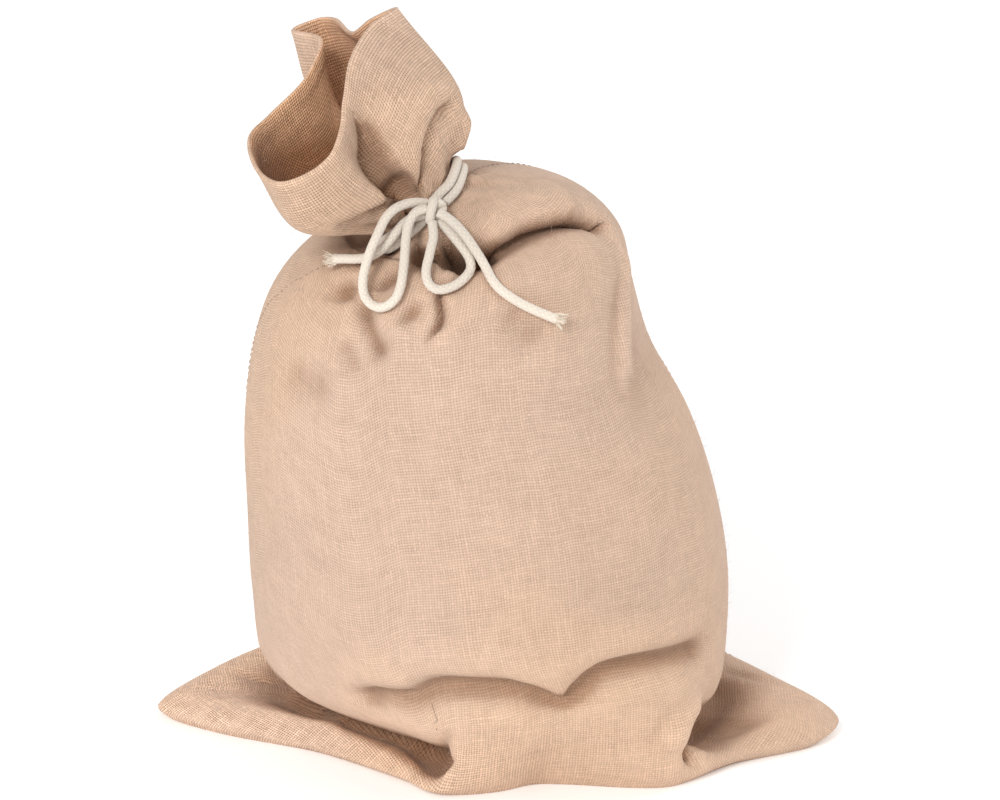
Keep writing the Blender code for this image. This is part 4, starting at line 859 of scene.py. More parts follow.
class Wire:
    """A socket in a tree of nodes, which takes part in sums and products."""

    def __init__(self, tree, socket=None):
        self.tree = tree
        self.socket = socket

    def node(self, kind, settings=None, values=None, output=0):
        """The output of a new node, after its settings and then its sockets are filled in."""
        made = self.tree.nodes.new(kind)
        for name, value in (settings or {}).items():
            setattr(made, name, value)
        for key, value in (values or {}).items():
            if isinstance(value, Wire):
                self.tree.links.new(value.socket, made.inputs[key])
            else:
                made.inputs[key].default_value = value
        return Wire(self.tree, made.outputs[output])

    def maths(self, operation, *others):
        """This value and others through a Math node."""
        return self.node("ShaderNodeMath", {"operation": operation}, dict(enumerate((self, *others))))

    def __add__(self, other):
        return self.maths("ADD", other)

    __radd__ = __add__

    def __mul__(self, other):
        return self.maths("MULTIPLY", other)

    __rmul__ = __mul__

    def __sub__(self, other):
        return self.maths("SUBTRACT", other)

    def __rsub__(self, other):
        return (self * -1.0) + other

    def ramp(self, low, high):
        """0 below low and 1 above high, smoothly between."""
        values = {"Value": self, "From Min": low, "From Max": high}
        return self.node("ShaderNodeMapRange", {"interpolation_type": "SMOOTHSTEP"}, values)

    def blend(self, kind, share, under, over):
        """Two colours put together by a Mix node, whose colour sockets come after its others."""
        settings = {"data_type": "RGBA", "blend_type": kind}
        under, over = (c if isinstance(c, Wire) else (*c, 1.0) for c in (under, over))
        return self.node("ShaderNodeMix", settings, {"Factor": share, 6: under, 7: over}, 2)

    def mix(self, start, end):
        """Colours mixed by this value, 0 for the start and 1 for the end."""
        return self.blend("MIX", self, start, end)

    def stain(self, colour):
        """A colour with this colour laid over it like a dye."""
        return self.blend("MULTIPLY", 1.0, colour, self)

    def shade(self, colour):
        """A colour made lighter or darker by this value, which is 1 where it stays as it is."""
        return self.node("ShaderNodeCombineColor", None, {0: self, 1: self, 2: self}).stain(colour)

    def beside(self, output):
        """Another output of the node that this one comes from."""
        return Wire(self.tree, self.socket.node.outputs[output])

    def parts(self):
        """The three parts of this vector."""
        first = self.node("ShaderNodeSeparateXYZ", None, {0: self})
        return first, first.beside("Y"), first.beside("Z")

    def about_one(self, reach):
        """This value, from 0 to 1, as a factor that much from end to end and 1 in the middle."""
        return (self - 0.5) * reach + 1.0

    def place(self):
        """The place on the piece, in metres."""
        return self.node("ShaderNodeTexCoord", output="Object")


def new_material(name):
    """A material with its nodes, the start of its wiring and its surface."""
    material = bpy.data.materials.new(name)
    material.use_nodes = True
    surface = material.node_tree.nodes["Principled BSDF"]
    return material, Wire(material.node_tree), surface


def join_surface(wire, surface, colour, height, roughness, relief):
    """Links a colour and a height to the surface. relief is how far the height stands out."""
    links = wire.tree.links
    links.new(colour.socket, surface.inputs["Base Color"])
    bump = wire.node("ShaderNodeBump", None, {"Strength": 1.0, "Distance": relief, "Height": height})
    links.new(bump.socket, surface.inputs["Normal"])
    surface.inputs["Roughness"].default_value = roughness


def add_fuzz(surface, sheen, spread, tint=(1.0, 1.0, 1.0)):
    """Gives a surface the pale bloom of fine fibres, and little gloss."""
    surface.inputs["Sheen Weight"].default_value = sheen
    surface.inputs["Sheen Roughness"].default_value = spread
    surface.inputs["Sheen Tint"].default_value = (*tint, 1.0)
    surface.inputs["Specular IOR Level"].default_value = DULL_GLOSS


def dyed(colour, shares):
    """A colour with its red, green and blue taken up or down by their shares."""
    return [min(1.0, part * share) for part, share in zip(colour, shares)]


def noise(wire, vector, scale, detail=2.0, roughness=0.5):
    """A noise of the given number of waves to the metre, from 0 to 1."""
    values = {"Vector": vector, "Scale": scale, "Detail": detail, "Roughness": roughness}
    return wire.node("ShaderNodeTexNoise", {"noise_dimensions": "3D"}, values)


def yarns(wire, across, along, seed, lift):
    """One set of parallel yarns: how high the yarn stands in each place, and its own tone."""
    number = across.maths("FLOOR")
    spot = {0: number * YARN_APART + seed, 1: along * YARN_SLOW}
    tone = noise(wire, wire.node("ShaderNodeCombineXYZ", None, spot), *YARN_SELF)
    odd = number.maths("MODULO", 2.0).maths("ABSOLUTE")
    wave = (along * math.pi).maths("SINE") * (1.0 - odd * 2.0)
    off = (across - number - 0.5).maths("ABSOLUTE") - tone * YARN_FULL
    top = (1.0 - off.ramp(*YARN_SIDE)) * (YARN_MIDDLE + wave * (YARN_SWING * lift))
    return top, tone


def jute_cloth(sizes):
    """Plain woven jute that follows the cloth's own weave map."""
    material, wire, surface = new_material("jute_cloth")
    chart, place = wire.node("ShaderNodeUVMap", {"uv_map": "weave"}), wire.place()
    worn_and_lit, painted_shade, loose, lining = (
        wire.node("ShaderNodeAttribute", {"attribute_name": name}, output="Fac")
        for name in ("worn_and_lit", "painted_shade", "loose", "lining")
    )
    across, along, _ = chart.parts()
    sway, shake = noise(wire, chart, *SWAY), noise(wire, chart, *SHAKE) * SHAKE_REACH
    x = across * (1.0 / sizes.yarn_pitch) + sway * SWAY_REACH[0] + shake
    y = along * (1.0 / sizes.yarn_pitch) - sway * SWAY_REACH[1] + shake
    warp_top, warp_tone = yarns(wire, x, y, WARP_SEED, 1.0)
    weft_top, weft_tone = yarns(wire, y, x, WEFT_SEED, -1.0)
    height = warp_top.maths("MAXIMUM", weft_top)
    warp_shows = (warp_top - weft_top).ramp(-CROSSOVER, CROSSOVER)

    tone = warp_shows * warp_tone + (1.0 - warp_shows) * weft_tone
    tone = tone.about_one(loose * LOOSE_TONES + TIGHT_TONES)
    tone = tone * noise(wire, place, *PATCHES).about_one(PATCH_TONES)
    tone = tone * noise(wire, chart, *GRAIN).about_one(GRAIN_TONES)
    blush = noise(wire, place, *BLUSH).ramp(*BLUSH_STEP)
    colour = tone.shade(blush.mix(sizes.jute_colour, dyed(sizes.jute_colour, BLUSH_DYE)))
    # painted shade: the holes between the yarns darkened, as the shade behind them
    holes = (1.0 - height.ramp(*HOLE_HEIGHTS)) * (HOLES_LEAST + noise(wire, chart, *OPENNESS) * HOLES_MORE)
    holes = holes * (TIGHT_HOLES + loose * LOOSE_HOLES + lining * LINING_HOLES)
    colour = holes.mix(colour, sizes.hole_shade_colour)
    # paler on the hem and ridges, as wear and painted highlight, and near the floor, most on the left, as
    # painted light
    colour = (1.0 + worn_and_lit * WORN_AND_LIT_LIFT).shade(colour)
    # painted bounce light: the inside of the mouth made warmer
    colour = lining.mix(CLEAN, LINING_BOUNCE_LIGHT).stain(colour)
    # painted shade in hollows, pits and low in the mouth
    colour = painted_shade.mix(CLEAN, PAINTED_SHADE_TINT).stain(colour)
    join_surface(wire, surface, colour, height, roughness=0.93, relief=sizes.yarn_relief)
    add_fuzz(surface, sheen=0.18, spread=0.45, tint=JUTE_BLOOM)
    return material


def thread_finish(name, low, high, patches, fuzz, roughness, relief):
    """A thread of two tones. patches is their waves to the metre and their detail, fuzz its own."""
    material, wire, surface = new_material(name)
    place = wire.place()
    tone = noise(wire, place, *patches).ramp(*THREAD_TONES)
    join_surface(wire, surface, tone.mix(low, high), noise(wire, place, fuzz), roughness, relief)
    return material


def jute_fibre(sizes):
    """Loose jute, paler than the cloth."""
    pale = [min(1.0, part * FIBRE_SHARE + FIBRE_LIFT) for part in sizes.jute_colour]
    return thread_finish(
        "jute_fibre", sizes.jute_colour, pale, patches=(90.0, 1.0), fuzz=2500.0, roughness=0.8, relief=0.0001
    )


def seam_thread(sizes):
    """Twisted jute thread, darker than the cloth."""
    dark, mid = (dyed(sizes.jute_colour, (share,) * 3) for share in THREAD_SHARES)
    return thread_finish(
        "seam_thread", dark, mid, patches=(120.0, 2.0), fuzz=1500.0, roughness=0.9, relief=0.0003
    )


def cotton_cord(sizes):
    """Braided cotton: soft plaits of fine fibres that cross each other round the cord."""
    material, wire, surface = new_material("cotton_cord")
    along, around, _ = wire.node("ShaderNodeUVMap", {"uv_map": "lay"}).parts()
    place = wire.place()
    turn = around * (TURN * PLAITS)
    lay = along * (TURN / PLAIT_LAY)
    crossing = ((turn + lay) * 0.5).maths("SINE") * ((turn - lay) * 0.5).maths("SINE")
    plait = crossing.maths("ABSOLUTE").ramp(0.0, GROOVE_EDGE)
    strand = ((turn + lay) * FIBRES_ACROSS).maths("SINE") * 0.5 + 0.5
    fluff = noise(wire, place, *FLUFF)
    height = plait * CORD_HEIGHTS[0] + strand * CORD_HEIGHTS[1] + fluff * CORD_HEIGHTS[2]
    tone = CORD_TONES[0] + noise(wire, place, *SMUDGE) * CORD_TONES[1] + fluff * CORD_TONES[2]
    # painted shade in the grooves between the plaits
    groove = dyed(sizes.cotton_colour, GROOVE_SHADE_TINT)
    pale = tone.shade(sizes.cotton_colour)
    colour = (1.0 - GROOVE_SHADE_SHARE + plait * GROOVE_SHADE_SHARE).mix(groove, pale)
    # painted shade: the cord is darker near the knot
    off = wire.node("ShaderNodeVectorMath", {"operation": "DISTANCE"}, {0: place, 1: KNOT_CENTRE}, "Value")
    colour = (1.0 - KNOT_SHADE + off.ramp(*KNOT_SHADE_REACH) * KNOT_SHADE).shade(colour)
    join_surface(wire, surface, colour, height, roughness=0.9, relief=0.0005)
    add_fuzz(surface, sheen=0.4, spread=0.5)
    return material


def cotton_fray(sizes):
    """Loose cotton fibres at a cut end."""
    shade, pale = dyed(sizes.cotton_colour, FRAY_DYE), dyed(sizes.cotton_colour, FRAY_PALE)
    return thread_finish(
        "cotton_fray", shade, pale, patches=(400.0, 2.0), fuzz=3000.0, roughness=0.85, relief=0.0001
    )


def studio_floor():
    """A pale, smooth floor."""
    material, wire, surface = new_material("studio_floor")
    place = wire.place()
    mottle = noise(wire, place, *MOTTLE)
    join_surface(wire, surface, mottle.mix(*FLOOR_TONES), mottle, roughness=0.7, relief=0.0001)
    _, back, _ = place.parts()
    glow = back.ramp(*GLOW_REACH).mix(GLOW_NEAR, CLEAN)
    wire.tree.links.new(glow.socket, surface.inputs["Emission Color"])
    surface.inputs["Emission Strength"].default_value = FLOOR_GLOW
    return material


# ---------------------------------------------------------------- meshes
def settings():
    """The sack's settings in this scene."""
    return bpy.context.scene.sack


def finish(piece, slot, *nodes):
    """A piece's last steps: it rides on the body and stands for its nodes."""
    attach(piece, "root")
    if nodes:
        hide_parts(*nodes)


def add_piece(name, mesh, material):
    """An object with the given mesh and material, smooth all over."""
    if name in bpy.data.objects:
        raise RuntimeError(f"{name} is already there")
    mesh.materials.clear()
    mesh.materials.append(material)
    mesh.shade_smooth()
    thing = bpy.data.objects.new(name, mesh)
    bpy.context.collection.objects.link(thing)
    return thing


def grid_mesh(name, rows, charts=None, chart_name="weave"):
    """A closed mesh of rows of places, with a fan at each end, and its map of face corners."""
    rows = np.asarray(rows)
    count, columns = rows.shape[:2]
    corner = np.arange(columns)
    following = (corner + 1) % columns
    start = (np.arange(count - 1) * columns)[:, None]
    quads = np.stack(
        [start + corner, start + following, start + columns + following, start + columns + corner], axis=2
    ).reshape(-1, 4)
    places = np.concatenate([rows.reshape(-1, 3), rows[0].mean(0)[None], rows[-1].mean(0)[None]])
    low, high = len(places) - 2, len(places) - 1
    last = (count - 1) * columns
    fans = [(int(n), int(c), low) for c, n in zip(corner, following)]
    fans += [(int(last + c), int(last + n), high) for c, n in zip(corner, following)]
    mesh = bpy.data.meshes.new(name)
    mesh.from_pydata(places.tolist(), [], quads.tolist() + fans)
    if charts is not None:
        ends = places[np.ravel(fans), :2]
        flat = np.concatenate([charts.reshape(-1, 2), ends]).astype(np.float32)
        mesh.uv_layers.new(name=chart_name).data.foreach_set("uv", flat.ravel())
    mesh.update()
    return mesh


def corner_map(chart):
    """The chart's value at the four corners of each face of its grid."""
    return np.stack([chart[:-1, :-1], chart[:-1, 1:], chart[1:, 1:], chart[1:, :-1]], axis=2)


# ---------------------------------------------------------------- the cloth
def soften(values, axis):
    """Values averaged with their neighbours along an axis; the ends keep their slope."""
    values = np.moveaxis(values, axis, 0)
    wide = np.concatenate([2 * values[:1] - values[1:2], values, 2 * values[-1:] - values[-2:-1]])
    return np.moveaxis(0.25 * wide[:-2] + 0.5 * wide[1:-1] + 0.25 * wide[2:], 0, axis)


def ease_flat(grid, flat, held):
    """Places in the plane, eased until their distances are like the grid's. held rows stay."""
    ahead, behind, every = slice(1, None), slice(None, -1), slice(None)
    ties = [
        ((every, behind), (every, ahead)),
        ((behind, every), (ahead, every)),
        ((behind, behind), (ahead, ahead)),
        ((behind, ahead), (ahead, behind)),
    ]
    lengths = [np.linalg.norm(grid[b] - grid[a], axis=2) for a, b in ties]
    shares = np.zeros(grid.shape[:2])
    for a, b in ties:
        shares[a] += 1
        shares[b] += 1
    start, pinned = flat, flat[held].copy()
    for turn in range(EASE_ROUNDS):
        move = np.zeros_like(flat)
        for (a, b), length in zip(ties, lengths):
            gap = flat[b] - flat[a]
            now = np.maximum(np.linalg.norm(gap, axis=2), 1e-9)
            pull = gap * ((1.0 - length / now) / 2)[:, :, None]
            move[a] += pull
            move[b] -= pull
        flat = flat + EASE_PUSH * move / shares[:, :, None]
        if turn % EASE_SMOOTH == 0:
            flat = start + soften(soften(flat - start, 0), 1)
        flat[held] = pinned
    return flat


def finer_grid(values, rows, columns, shape):
    """A coarse grid's values at every row and column of a finer one, in which its own are known."""
    for known, count in ((rows, shape[0]), (columns, shape[1])):
        lines = values.reshape(len(known), -1).T
        finer = np.stack([np.interp(np.arange(count), known, line) for line in lines], axis=1)
        values = finer.reshape(count, *values.shape[1:]).swapaxes(0, 1)
    return values


def run_along(places, axis):
    """How far each place is along its line, from the first one."""
    steps = np.linalg.norm(np.diff(places, axis=axis), axis=2)
    start = np.zeros_like(np.take(steps, [0], axis=axis))
    return np.concatenate([start, np.cumsum(steps, axis=axis)], axis=axis)


def eased_chart(panel, from_hem):
    """The cloth of one panel laid flat: its width and length in metres at each place."""
    rows = np.unique(np.append(np.arange(0, len(panel), EASE_EVERY), len(panel) - 1))
    columns = np.arange(0, panel.shape[1], EASE_EVERY)
    coarse = panel[rows][:, columns]
    middle = coarse.shape[1] // 2
    width = run_along(coarse, 1)
    width -= width[:, middle : middle + 1]
    if from_hem:
        length = run_along(coarse[::-1], 0)[::-1] * -1.0
        width = 0.5 * width + 0.5 * width[-1]
        held = np.s_[-1:]
    else:
        length = np.abs(coarse[0, :, 1]) + run_along(coarse, 0)
        share = np.clip(np.arange(len(rows)) / EASE_BLEND, 0.0, 1.0)[:, None]
        width = coarse[0, :, 0] * np.sign(coarse[0, -1, 0] - coarse[0, 0, 0]) * (1 - share) + width * share
        held = np.s_[:1]
    flat = ease_flat(coarse, np.stack([width, length], axis=2), held)
    return finer_grid(flat, rows, columns, panel.shape)


def gathered_chart(panel, levels):
    """The cloth of a body's panel laid flat, its upper part drawn in towards the neck."""
    cut = int(np.abs(levels - GATHER_LEVEL).argmin())
    lower, upper = eased_chart(panel[: cut + 1], from_hem=False), panel[cut:]
    width = np.linalg.norm(np.diff(upper, axis=1), axis=2).sum(1)
    shrink = (width / width[0]) ** GATHER_SHARE
    rise = np.cumsum(np.linalg.norm(np.diff(upper, axis=0), axis=2), axis=0)
    for _ in range(RISE_ROUNDS):
        wide = np.concatenate([rise[:, :1], rise, rise[:, -1:]], axis=1)
        rise = 0.25 * wide[:, :-2] + 0.5 * wide[:, 1:-1] + 0.25 * wide[:, 2:]
    middle = lower[-1, lower.shape[1] // 2]
    upper = middle + (lower[-1] - middle) * shrink[1:, None, None]
    upper[:, :, 1] = lower[-1, :, 1] + rise
    return np.concatenate([lower, upper])


def cloth_chart(sheet, levels, from_hem):
    """The weave map at the corners of every face of the sheet, for its back and its front panel."""
    half = sheet.shape[1] // 2
    closed = np.concatenate([sheet, sheet[:, :1]], axis=1)
    corners = []
    for panel in (closed[:, : half + 1], closed[:, half:]):
        chart = eased_chart(panel, True) if from_hem else gathered_chart(panel, levels)
        corners.append(corner_map(chart) + np.multiply(PANEL_APART, len(corners)))
    return np.concatenate(corners, axis=1)


def relief(sheet):
    """How far the cloth stands out at each place, from 1 on a ridge to -1 in a sharp hollow."""
    step = RELIEF_STEP
    padded = np.concatenate([sheet[:1]] * step + [sheet] + [sheet[-1:]] * step)
    around = np.roll(sheet, step, 1) + np.roll(sheet, -step, 1)
    around = (around + padded[: -2 * step] + padded[2 * step :]) / 4
    height = ((sheet - around) * outward(sheet)).sum(2)
    for _ in range(RELIEF_ROUNDS):
        height = soften(0.5 * height + 0.25 * (np.roll(height, 1, 1) + np.roll(height, -1, 1)), 0)
    return np.clip(height / RELIEF_HEIGHT, -1.0, 1.0)


def shut_in(rows):
    """The share of the open air round each place that nearby cloth takes up, from 0 to 1."""
    every = SHADE_EVERY
    coarse, normal = rows[::every, ::every], outward(rows)[::every, ::every]
    count, columns = coarse.shape[:2]
    corner = np.arange(count * columns).reshape(count, columns)
    ahead = np.roll(corner, -1, 1)
    faces = np.stack([corner[:-1], ahead[:-1], ahead[1:], corner[1:]], axis=2).reshape(-1, 4)
    cloth = BVHTree.FromPolygons(coarse.reshape(-1, 3).tolist(), faces.tolist())
    turn = np.arange(SHADE_RAYS) * GOLDEN_ANGLE
    height = np.sqrt((np.arange(SHADE_RAYS) + 0.5) / SHADE_RAYS)
    flat = np.sqrt(1.0 - height**2)
    rays = np.stack([flat * np.cos(turn), flat * np.sin(turn), height], axis=1)
    normal = normal.reshape(-1, 3)
    side = np.cross(normal, ANY_WAY)
    side /= np.linalg.norm(side, axis=1, keepdims=True)
    frame = np.stack([side, np.cross(normal, side), normal], axis=1)
    ways = np.einsum("rk,pkx->prx", rays, frame)
    blocked = np.zeros(count * columns)
    starts = coarse.reshape(-1, 3) + normal * SHADE_LIFT
    for i, (start, fan) in enumerate(zip(starts.tolist(), ways.tolist())):
        blocked[i] = sum(cloth.ray_cast(start, way, SHADE_REACH)[0] is not None for way in fan)
    blocked = blocked.reshape(count, columns) / SHADE_RAYS
    blocked = soften(0.5 * blocked + 0.25 * (np.roll(blocked, 1, 1) + np.roll(blocked, -1, 1)), 0)
    closed = np.concatenate([blocked, blocked[:, :1]], axis=1)[:, :, None]
    known_rows, known_columns = np.arange(count) * every, np.arange(columns + 1) * every
    return finer_grid(closed, known_rows, known_columns, rows.shape)[:, :, 0]


@functools.lru_cache(maxsize=1)
def fine_sack():
    """The sack's fine rows: under the foot, its outside, their levels, and the cord's lines."""
    return sack_rows(COLUMNS * FINER, FINER)


def hem_rows(sheet, levels):
    """The rows over the hem and down the inside of the mouth, thicker where the hem is folded."""
    out = outward(sheet)
    depth = run_along(sheet[::-1], 0)[::-1]
    step = fade_in((depth - HEM_BAND + HEM_STEP) / HEM_STEP)
    wall = HEM_WALL + (SINGLE_WALL - HEM_WALL) * step
    inside = sheet - out * wall[:, :, None]
    wanted = levels >= LINING_LEVEL
    rise = sheet[-1] - sheet[-2]
    rise /= np.linalg.norm(rise, axis=1, keepdims=True)
    crown = [
        sheet[-1] - out[-1] * HEM_WALL * share + rise * HEM_ROUND * math.sin(math.pi * share)
        for share in HEM_SHARES
    ]
    return crown, inside[wanted][::-1], depth


def cloth_charts(under, sheet, levels, crown, inside):
    """The weave map at the corners of every face of the cloth, in the order of its rows."""
    neck = int(np.abs(levels - NECK_LEVEL).argmin())
    floor_rows = np.stack([*under, sheet[0]])
    closed = np.concatenate([floor_rows, floor_rows[:, :1]], axis=1)
    underneath = corner_map(closed[:, :, :2])
    body = cloth_chart(sheet[: neck + 1], levels[: neck + 1], from_hem=False)
    mouth = cloth_chart(sheet[neck:], levels[neck:], from_hem=True) + MOUTH_APART
    over_hem = np.repeat(mouth[-1:], len(crown) + 1, axis=0)
    within = mouth[len(mouth) - (len(inside) - 1) :][::-1][:, :, [3, 2, 1, 0]]
    return np.concatenate([underneath, body, mouth, over_hem, within])


def cloth_shares(rows, sheet, levels, depth, first, inner):
    """How the cloth is painted at each place of its rows, by name: paler where worn and where painted light
    falls, loose, in painted shade, and like a lining.

    The sheet's rows start at first and those inside the mouth at inner, and depth is how far each
    place of the sheet is from the hem.
    """
    last = first + len(sheet)
    worn_and_lit, loose, lining = (np.zeros(rows.shape[:2]) for _ in range(3))
    at_hem, height = np.exp(-depth / HEM_WORN_AND_LIT), relief(sheet)
    leftward = 1.0 - LEFTWARD * np.cos(TURN * np.arange(sheet.shape[1]) / sheet.shape[1])
    painted_floor_light = np.interp(levels, *FLOOR_LIGHT_LEVELS)[:, None] * leftward
    # paler at the hem and on ridges (wear and painted highlight) and near the floor, most on the left
    # (painted light)
    worn_and_lit[first:last] = np.maximum(at_hem, RIDGE_WEAR_AND_HIGHLIGHT * height + painted_floor_light)
    worn_and_lit[last:inner] = 1.0
    worn_and_lit[inner:] = at_hem[levels >= LINING_LEVEL][::-1]
    loose[first:last] = np.interp(levels, *LOOSE_LEVELS)[:, None]
    loose[first:last] += np.interp(levels, *LOOSE_EARS)[:, None] * leftward
    loose[last:] = 1.0
    lining[inner:] = 1.0
    # painted shade: darker where nearby cloth shuts out the open air, in sharp hollows, and low in the mouth
    blocked = shut_in(rows)
    painted_shade = np.interp(blocked, *SHADE_OUTSIDE)
    painted_shade[first:last] = np.maximum(painted_shade[first:last], -HOLLOW_SHADE * height)
    painted_shade[inner:] = np.interp(blocked[inner:], *SHADE_WITHIN)
    painted_shade[inner:] = np.maximum(painted_shade[inner:], np.interp(rows[inner:, :, 2], *MOUTH_HEIGHTS))
    return {"worn_and_lit": worn_and_lit, "loose": loose, "painted_shade": painted_shade, "lining": lining}


def build_cloth(sizes):
    """The sack's cloth: its underside, outside, hem and the inside of its mouth."""
    under, sheet, levels, _ = fine_sack()
    crown, inside, depth = hem_rows(sheet, levels)
    rows = np.array([*under, *sheet, *crown, *inside])
    mesh = grid_mesh("sack_cloth_looks", rows, cloth_charts(under, sheet, levels, crown, inside))
    inner = len(rows) - len(inside)
    for name, share in cloth_shares(rows, sheet, levels, depth, len(under), inner).items():
        layer = mesh.attributes.new(name, "FLOAT", "POINT")
        ends = (share[0].mean(), share[-1].mean())
        layer.data.foreach_set("value", np.append(share, ends).astype(np.float32))
    cloth = add_piece("sack_cloth_looks", mesh, jute_cloth(sizes))
    finish(cloth, "jute", "sack_cloth")


# ---------------------------------------------------------------- what repeats
def new_tree(name, **inputs):
    """A geometry tree: its own wire, one for each of its inputs by name, and its end."""
    tree = bpy.data.node_groups.new(name, "GeometryNodeTree")
    tree.interface.new_socket("Geometry", in_out="OUTPUT", socket_type="NodeSocketGeometry")
    for label, kind in {"Geometry": "Geometry", **inputs}.items():
        tree.interface.new_socket(label, in_out="INPUT", socket_type=f"NodeSocket{kind}")
    start, end = tree.nodes.new("NodeGroupInput"), tree.nodes.new("NodeGroupOutput")
    return Wire(tree), {label: Wire(tree, start.outputs[label]) for label in ("Geometry", *inputs)}, end


def lay_copies(wire, end, points, copy, rotation, scale, thread):
    """The end of a tree: copies of a shape on points, made real and given their material."""
    values = {"Points": points, "Instance": copy, "Rotation": rotation, "Scale": scale}
    laid = wire.node("GeometryNodeInstanceOnPoints", None, values)
    real = wire.node("GeometryNodeRealizeInstances", None, {0: laid})
    made = wire.node("GeometryNodeSetMaterial", None, {"Geometry": real, "Material": thread})
    wire.tree.links.new(made.socket, end.inputs[0])
    return wire.tree


def run_tree(tree, name, mesh, values):
    """The plain mesh that a geometry tree makes of the given one."""
    thing = bpy.data.objects.new(name, mesh)
    bpy.context.collection.objects.link(thing)
    modifier = thing.modifiers.new("nodes", "NODES")
    modifier.node_group = tree
    for item in tree.interface.items_tree:
        if item.in_out == "INPUT" and item.name in values:
            modifier[item.identifier] = values[item.name]
    seen = thing.evaluated_get(bpy.context.evaluated_depsgraph_get())
    result = bpy.data.meshes.new_from_object(seen)
    thing.modifiers.remove(modifier)
    thing.data = result
    result.name = name
    return thing


def stitch_tree():
    """Stitches along a line: short thick threads, laid end to end with a gap between."""
    wire, given, end = new_tree(
        "seam_stitches", Spacing="Float", Length="Float", Thickness="Float", Seed="Int", Thread="Material"
    )
    line = wire.node("GeometryNodeMeshToCurve", None, {0: given["Geometry"]})
    values = {"Curve": line, "Length": given["Spacing"]}
    spread = wire.node("GeometryNodeResampleCurve", {"mode": "LENGTH"}, values)
    tangent = wire.node("GeometryNodeInputTangent")
    facing = wire.node("GeometryNodeInputNamedAttribute", {"data_type": "FLOAT_VECTOR"}, {"Name": "facing"})
    align = "FunctionNodeAlignRotationToVector"
    along = wire.node(align, {"axis": "X"}, {"Vector": tangent})
    turned = wire.node(align, {"axis": "Z", "pivot_axis": "X"}, {"Rotation": along, "Vector": facing})
    thin = given["Thickness"] * 0.5
    size = wire.node("ShaderNodeCombineXYZ", None, {0: given["Length"] * 0.5, 1: thin, 2: thin})
    fineness = dict(zip(("Segments", "Rings"), STITCH_FINENESS))
    ball = wire.node("GeometryNodeMeshUVSphere", None, {**fineness, "Radius": 1.0})
    move = "GeometryNodeTransform"
    lying = wire.node(move, None, {"Geometry": ball, "Rotation": (0.0, math.pi / 2, 0.0)})
    stitch = wire.node(move, None, {"Geometry": lying, "Scale": size})
    values = {"Min": STITCH_SIZES[0], "Max": STITCH_SIZES[1], "Seed": given["Seed"]}
    uneven = wire.node("FunctionNodeRandomValue", {"data_type": "FLOAT_VECTOR"}, values)
    return lay_copies(wire, end, spread, stitch, turned, uneven, given["Thread"])


def build_seams(sizes):
    """The stitches of the side seams, and the thick dark yarns in the cloth."""
    _, sheet, levels, _ = fine_sack()
    normal = outward(sheet)
    thread = seam_thread(sizes)
    tree = stitch_tree()
    for name, spacing, length, thickness, route in THREADS:
        _, turns, heights = fold_route(route, sheet, levels, THREAD_STEP)
        column = np.round((turns % 1.0) * sheet.shape[1]).astype(int) % sheet.shape[1]
        row = np.round(np.interp(heights, levels, np.arange(len(levels)))).astype(int)
        facing = normal[row, column]
        places = sheet[row, column] + facing * THREAD_LIFT
        mesh = bpy.data.meshes.new(name)
        mesh.from_pydata(places.tolist(), [(i, i + 1) for i in range(len(places) - 1)], [])
        layer = mesh.attributes.new("facing", "FLOAT_VECTOR", "POINT")
        layer.data.foreach_set("vector", facing.astype(np.float32).ravel())
        values = {"Spacing": spacing, "Length": length, "Thickness": thickness}
        values |= {"Seed": THREAD_SEED, "Thread": thread}
        finish(run_tree(tree, name, mesh, values), "jute")


def fibre_tree():
    """Loose fibres that stand out of a surface at random, each a thin bent thread."""
    wire, given, end = new_tree(
        "loose_fibres", Density="Float", Length="Float", Thickness="Float", Lowest="Float", Seed="Int",
        Thread="Material",
    )
    _, _, height = wire.node("GeometryNodeInputPosition").parts()
    values = {
        "Mesh": given["Geometry"],
        "Selection": height.maths("GREATER_THAN", given["Lowest"]),
        "Density": given["Density"],
        "Seed": given["Seed"],
    }
    spread = wire.node("GeometryNodeDistributePointsOnFaces", {"distribute_method": "RANDOM"}, values)
    values = {"Resolution": FIBRE_PARTS, **dict(zip(("Start", "Middle", "End"), FIBRE_BEND))}
    line = wire.node("GeometryNodeCurveQuadraticBezier", None, values)
    ring = wire.node("GeometryNodeCurvePrimitiveCircle", None, {"Resolution": FIBRE_SIDES})
    thin = given["Thickness"].maths("DIVIDE", given["Length"])
    ring = wire.node("GeometryNodeTransform", None, {"Geometry": ring, "Scale": thin})
    values = {"Curve": line, "Profile Curve": ring, "Fill Caps": True}
    tube = wire.node("GeometryNodeCurveToMesh", None, values)
    chance = "FunctionNodeRandomValue"
    least, most = (-FIBRE_LEAN, -FIBRE_LEAN, 0.0), (FIBRE_LEAN, FIBRE_LEAN, TURN)
    values = {"Min": least, "Max": most, "Seed": given["Seed"]}
    tilt = wire.node(chance, {"data_type": "FLOAT_VECTOR"}, values)
    lean = wire.node("FunctionNodeEulerToRotation", None, {0: tilt})
    values = {0: spread.beside("Rotation"), 1: lean}
    aimed = wire.node("FunctionNodeRotateRotation", {"rotation_space": "LOCAL"}, values)
    values = {"Min": FIBRE_SHORTEST, "Max": 1.0, "Seed": FIBRE_LENGTH_SEED}
    share = wire.node(chance, {"data_type": "FLOAT"}, values, 1)
    return lay_copies(wire, end, spread, tube, aimed, share * given["Length"], given["Thread"])


